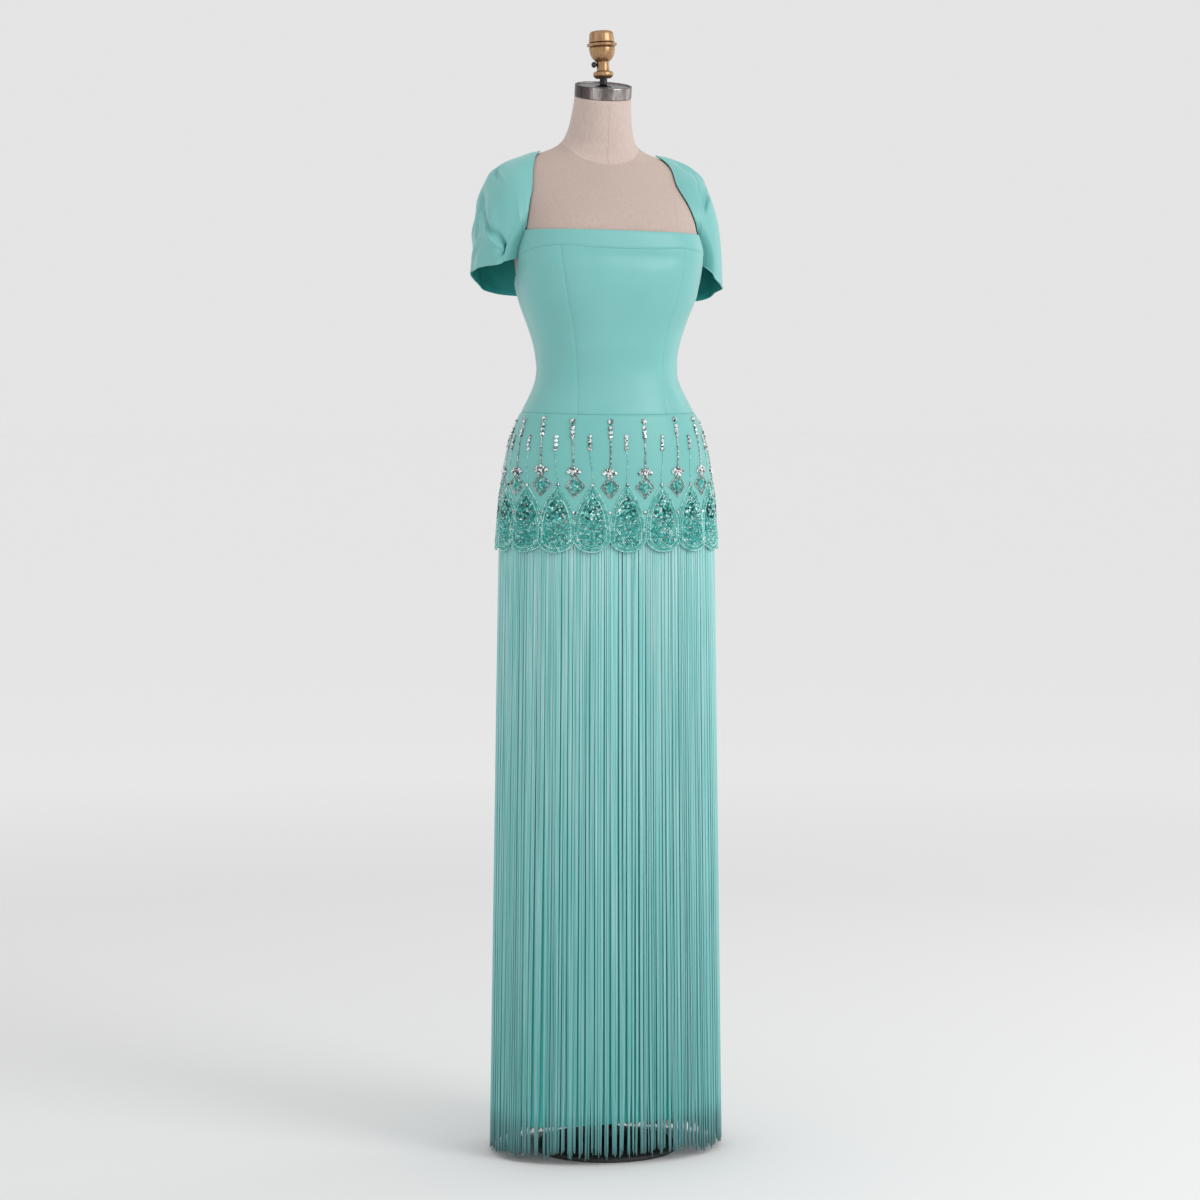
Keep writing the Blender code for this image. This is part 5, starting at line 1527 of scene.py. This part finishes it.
# Studio, in metres. A lamp is its name, place, aim, size and power.
studio = {
    "distance": 5.0, "eye": 1.175, "aim": 0.863, "azimuth": -15, "aside": -0.00936,
    "lens": 96.34, "sensor": 36,
    "floor": 200, "floorNear": (0.86, 0.86, 0.86), "floorFar": (1.0, 1.0, 1.0), "floorFade": 0.2,
    "nearAt": 0.45, "floorRoughness": 0.9,
    "world": (1.0, 1.0, 1.0), "worldLight": 0.78, "transform": "Standard",
    "lamps": (
        ("key", (2.1, -2.65, 2.65), (0, 0, 1.15), (1.6, 2.0), 48),
        ("side", (3.2, 1.0, 1.7), (0, 0, 1.1), (0.9, 2.2), 10),
    ),
}


def aimed(name, data, place, aim):
    # a lamp or the camera, set at its place and turned to what it looks at
    holder = bpy.data.objects.new(name, data)
    holder.location = place
    holder.rotation_euler = (Vector(aim) - Vector(place)).to_track_quat("-Z", "Y").to_euler()
    bpy.context.scene.collection.objects.link(holder)
    return holder


def buildFloor():
    bpy.ops.mesh.primitive_plane_add(size=studio["floor"], location=(0, 0, 0))
    floor = bpy.context.object
    floor.name = "studioFloor"
    paint = newMaterial("studioFloor", studio["floorNear"], studio["floorRoughness"])
    # painted shade: the floor darker near the gown, where the lamps light it most, fading to full white far
    # off, so that it reads evenly bright
    fade = texture(paint, "Gradient", studio["floorFade"])
    fade.gradient_type = "SPHERICAL"
    stops = [(0.0, studio["floorFar"]), (studio["nearAt"], studio["floorNear"])]
    colourFrom(paint, fade.outputs["Fac"], stops)
    floor.data.materials.append(paint)


def buildLight():
    world = bpy.data.worlds.new("studio")
    world.use_nodes = True
    sky = world.node_tree.nodes["Background"].inputs
    sky["Color"].default_value = (*studio["world"], 1)
    sky["Strength"].default_value = studio["worldLight"]
    bpy.context.scene.world = world
    bpy.context.scene.view_settings.view_transform = studio["transform"]
    for name, place, aim, size, power in studio["lamps"]:
        lamp = bpy.data.lights.new(name, "AREA")
        lamp.shape = "RECTANGLE"
        lamp.size, lamp.size_y = size
        lamp.energy = power
        aimed(name, lamp, place, aim)


def buildCamera():
    azimuth = math.radians(studio["azimuth"])
    aside = Vector((math.cos(azimuth), math.sin(azimuth), 0)) * studio["aside"]
    back = Vector((math.sin(azimuth), -math.cos(azimuth), 0)) * studio["distance"]
    camera = bpy.data.cameras.new("camera")
    camera.lens = studio["lens"]
    camera.sensor_width = studio["sensor"]
    eye, aim = back + aside + Vector((0, 0, studio["eye"])), aside + Vector((0, 0, studio["aim"]))
    bpy.context.scene.camera = aimed("camera", camera, eye, aim)
    print("studio made")


buildFloor()
buildLight()
buildCamera()
buildTorso()
buildHead()
buildStand()
buildBodice()
buildBands()
buildSleeves()
buildPeplum(buildBeading())
buildSlip(buildFringe())
buildZip()
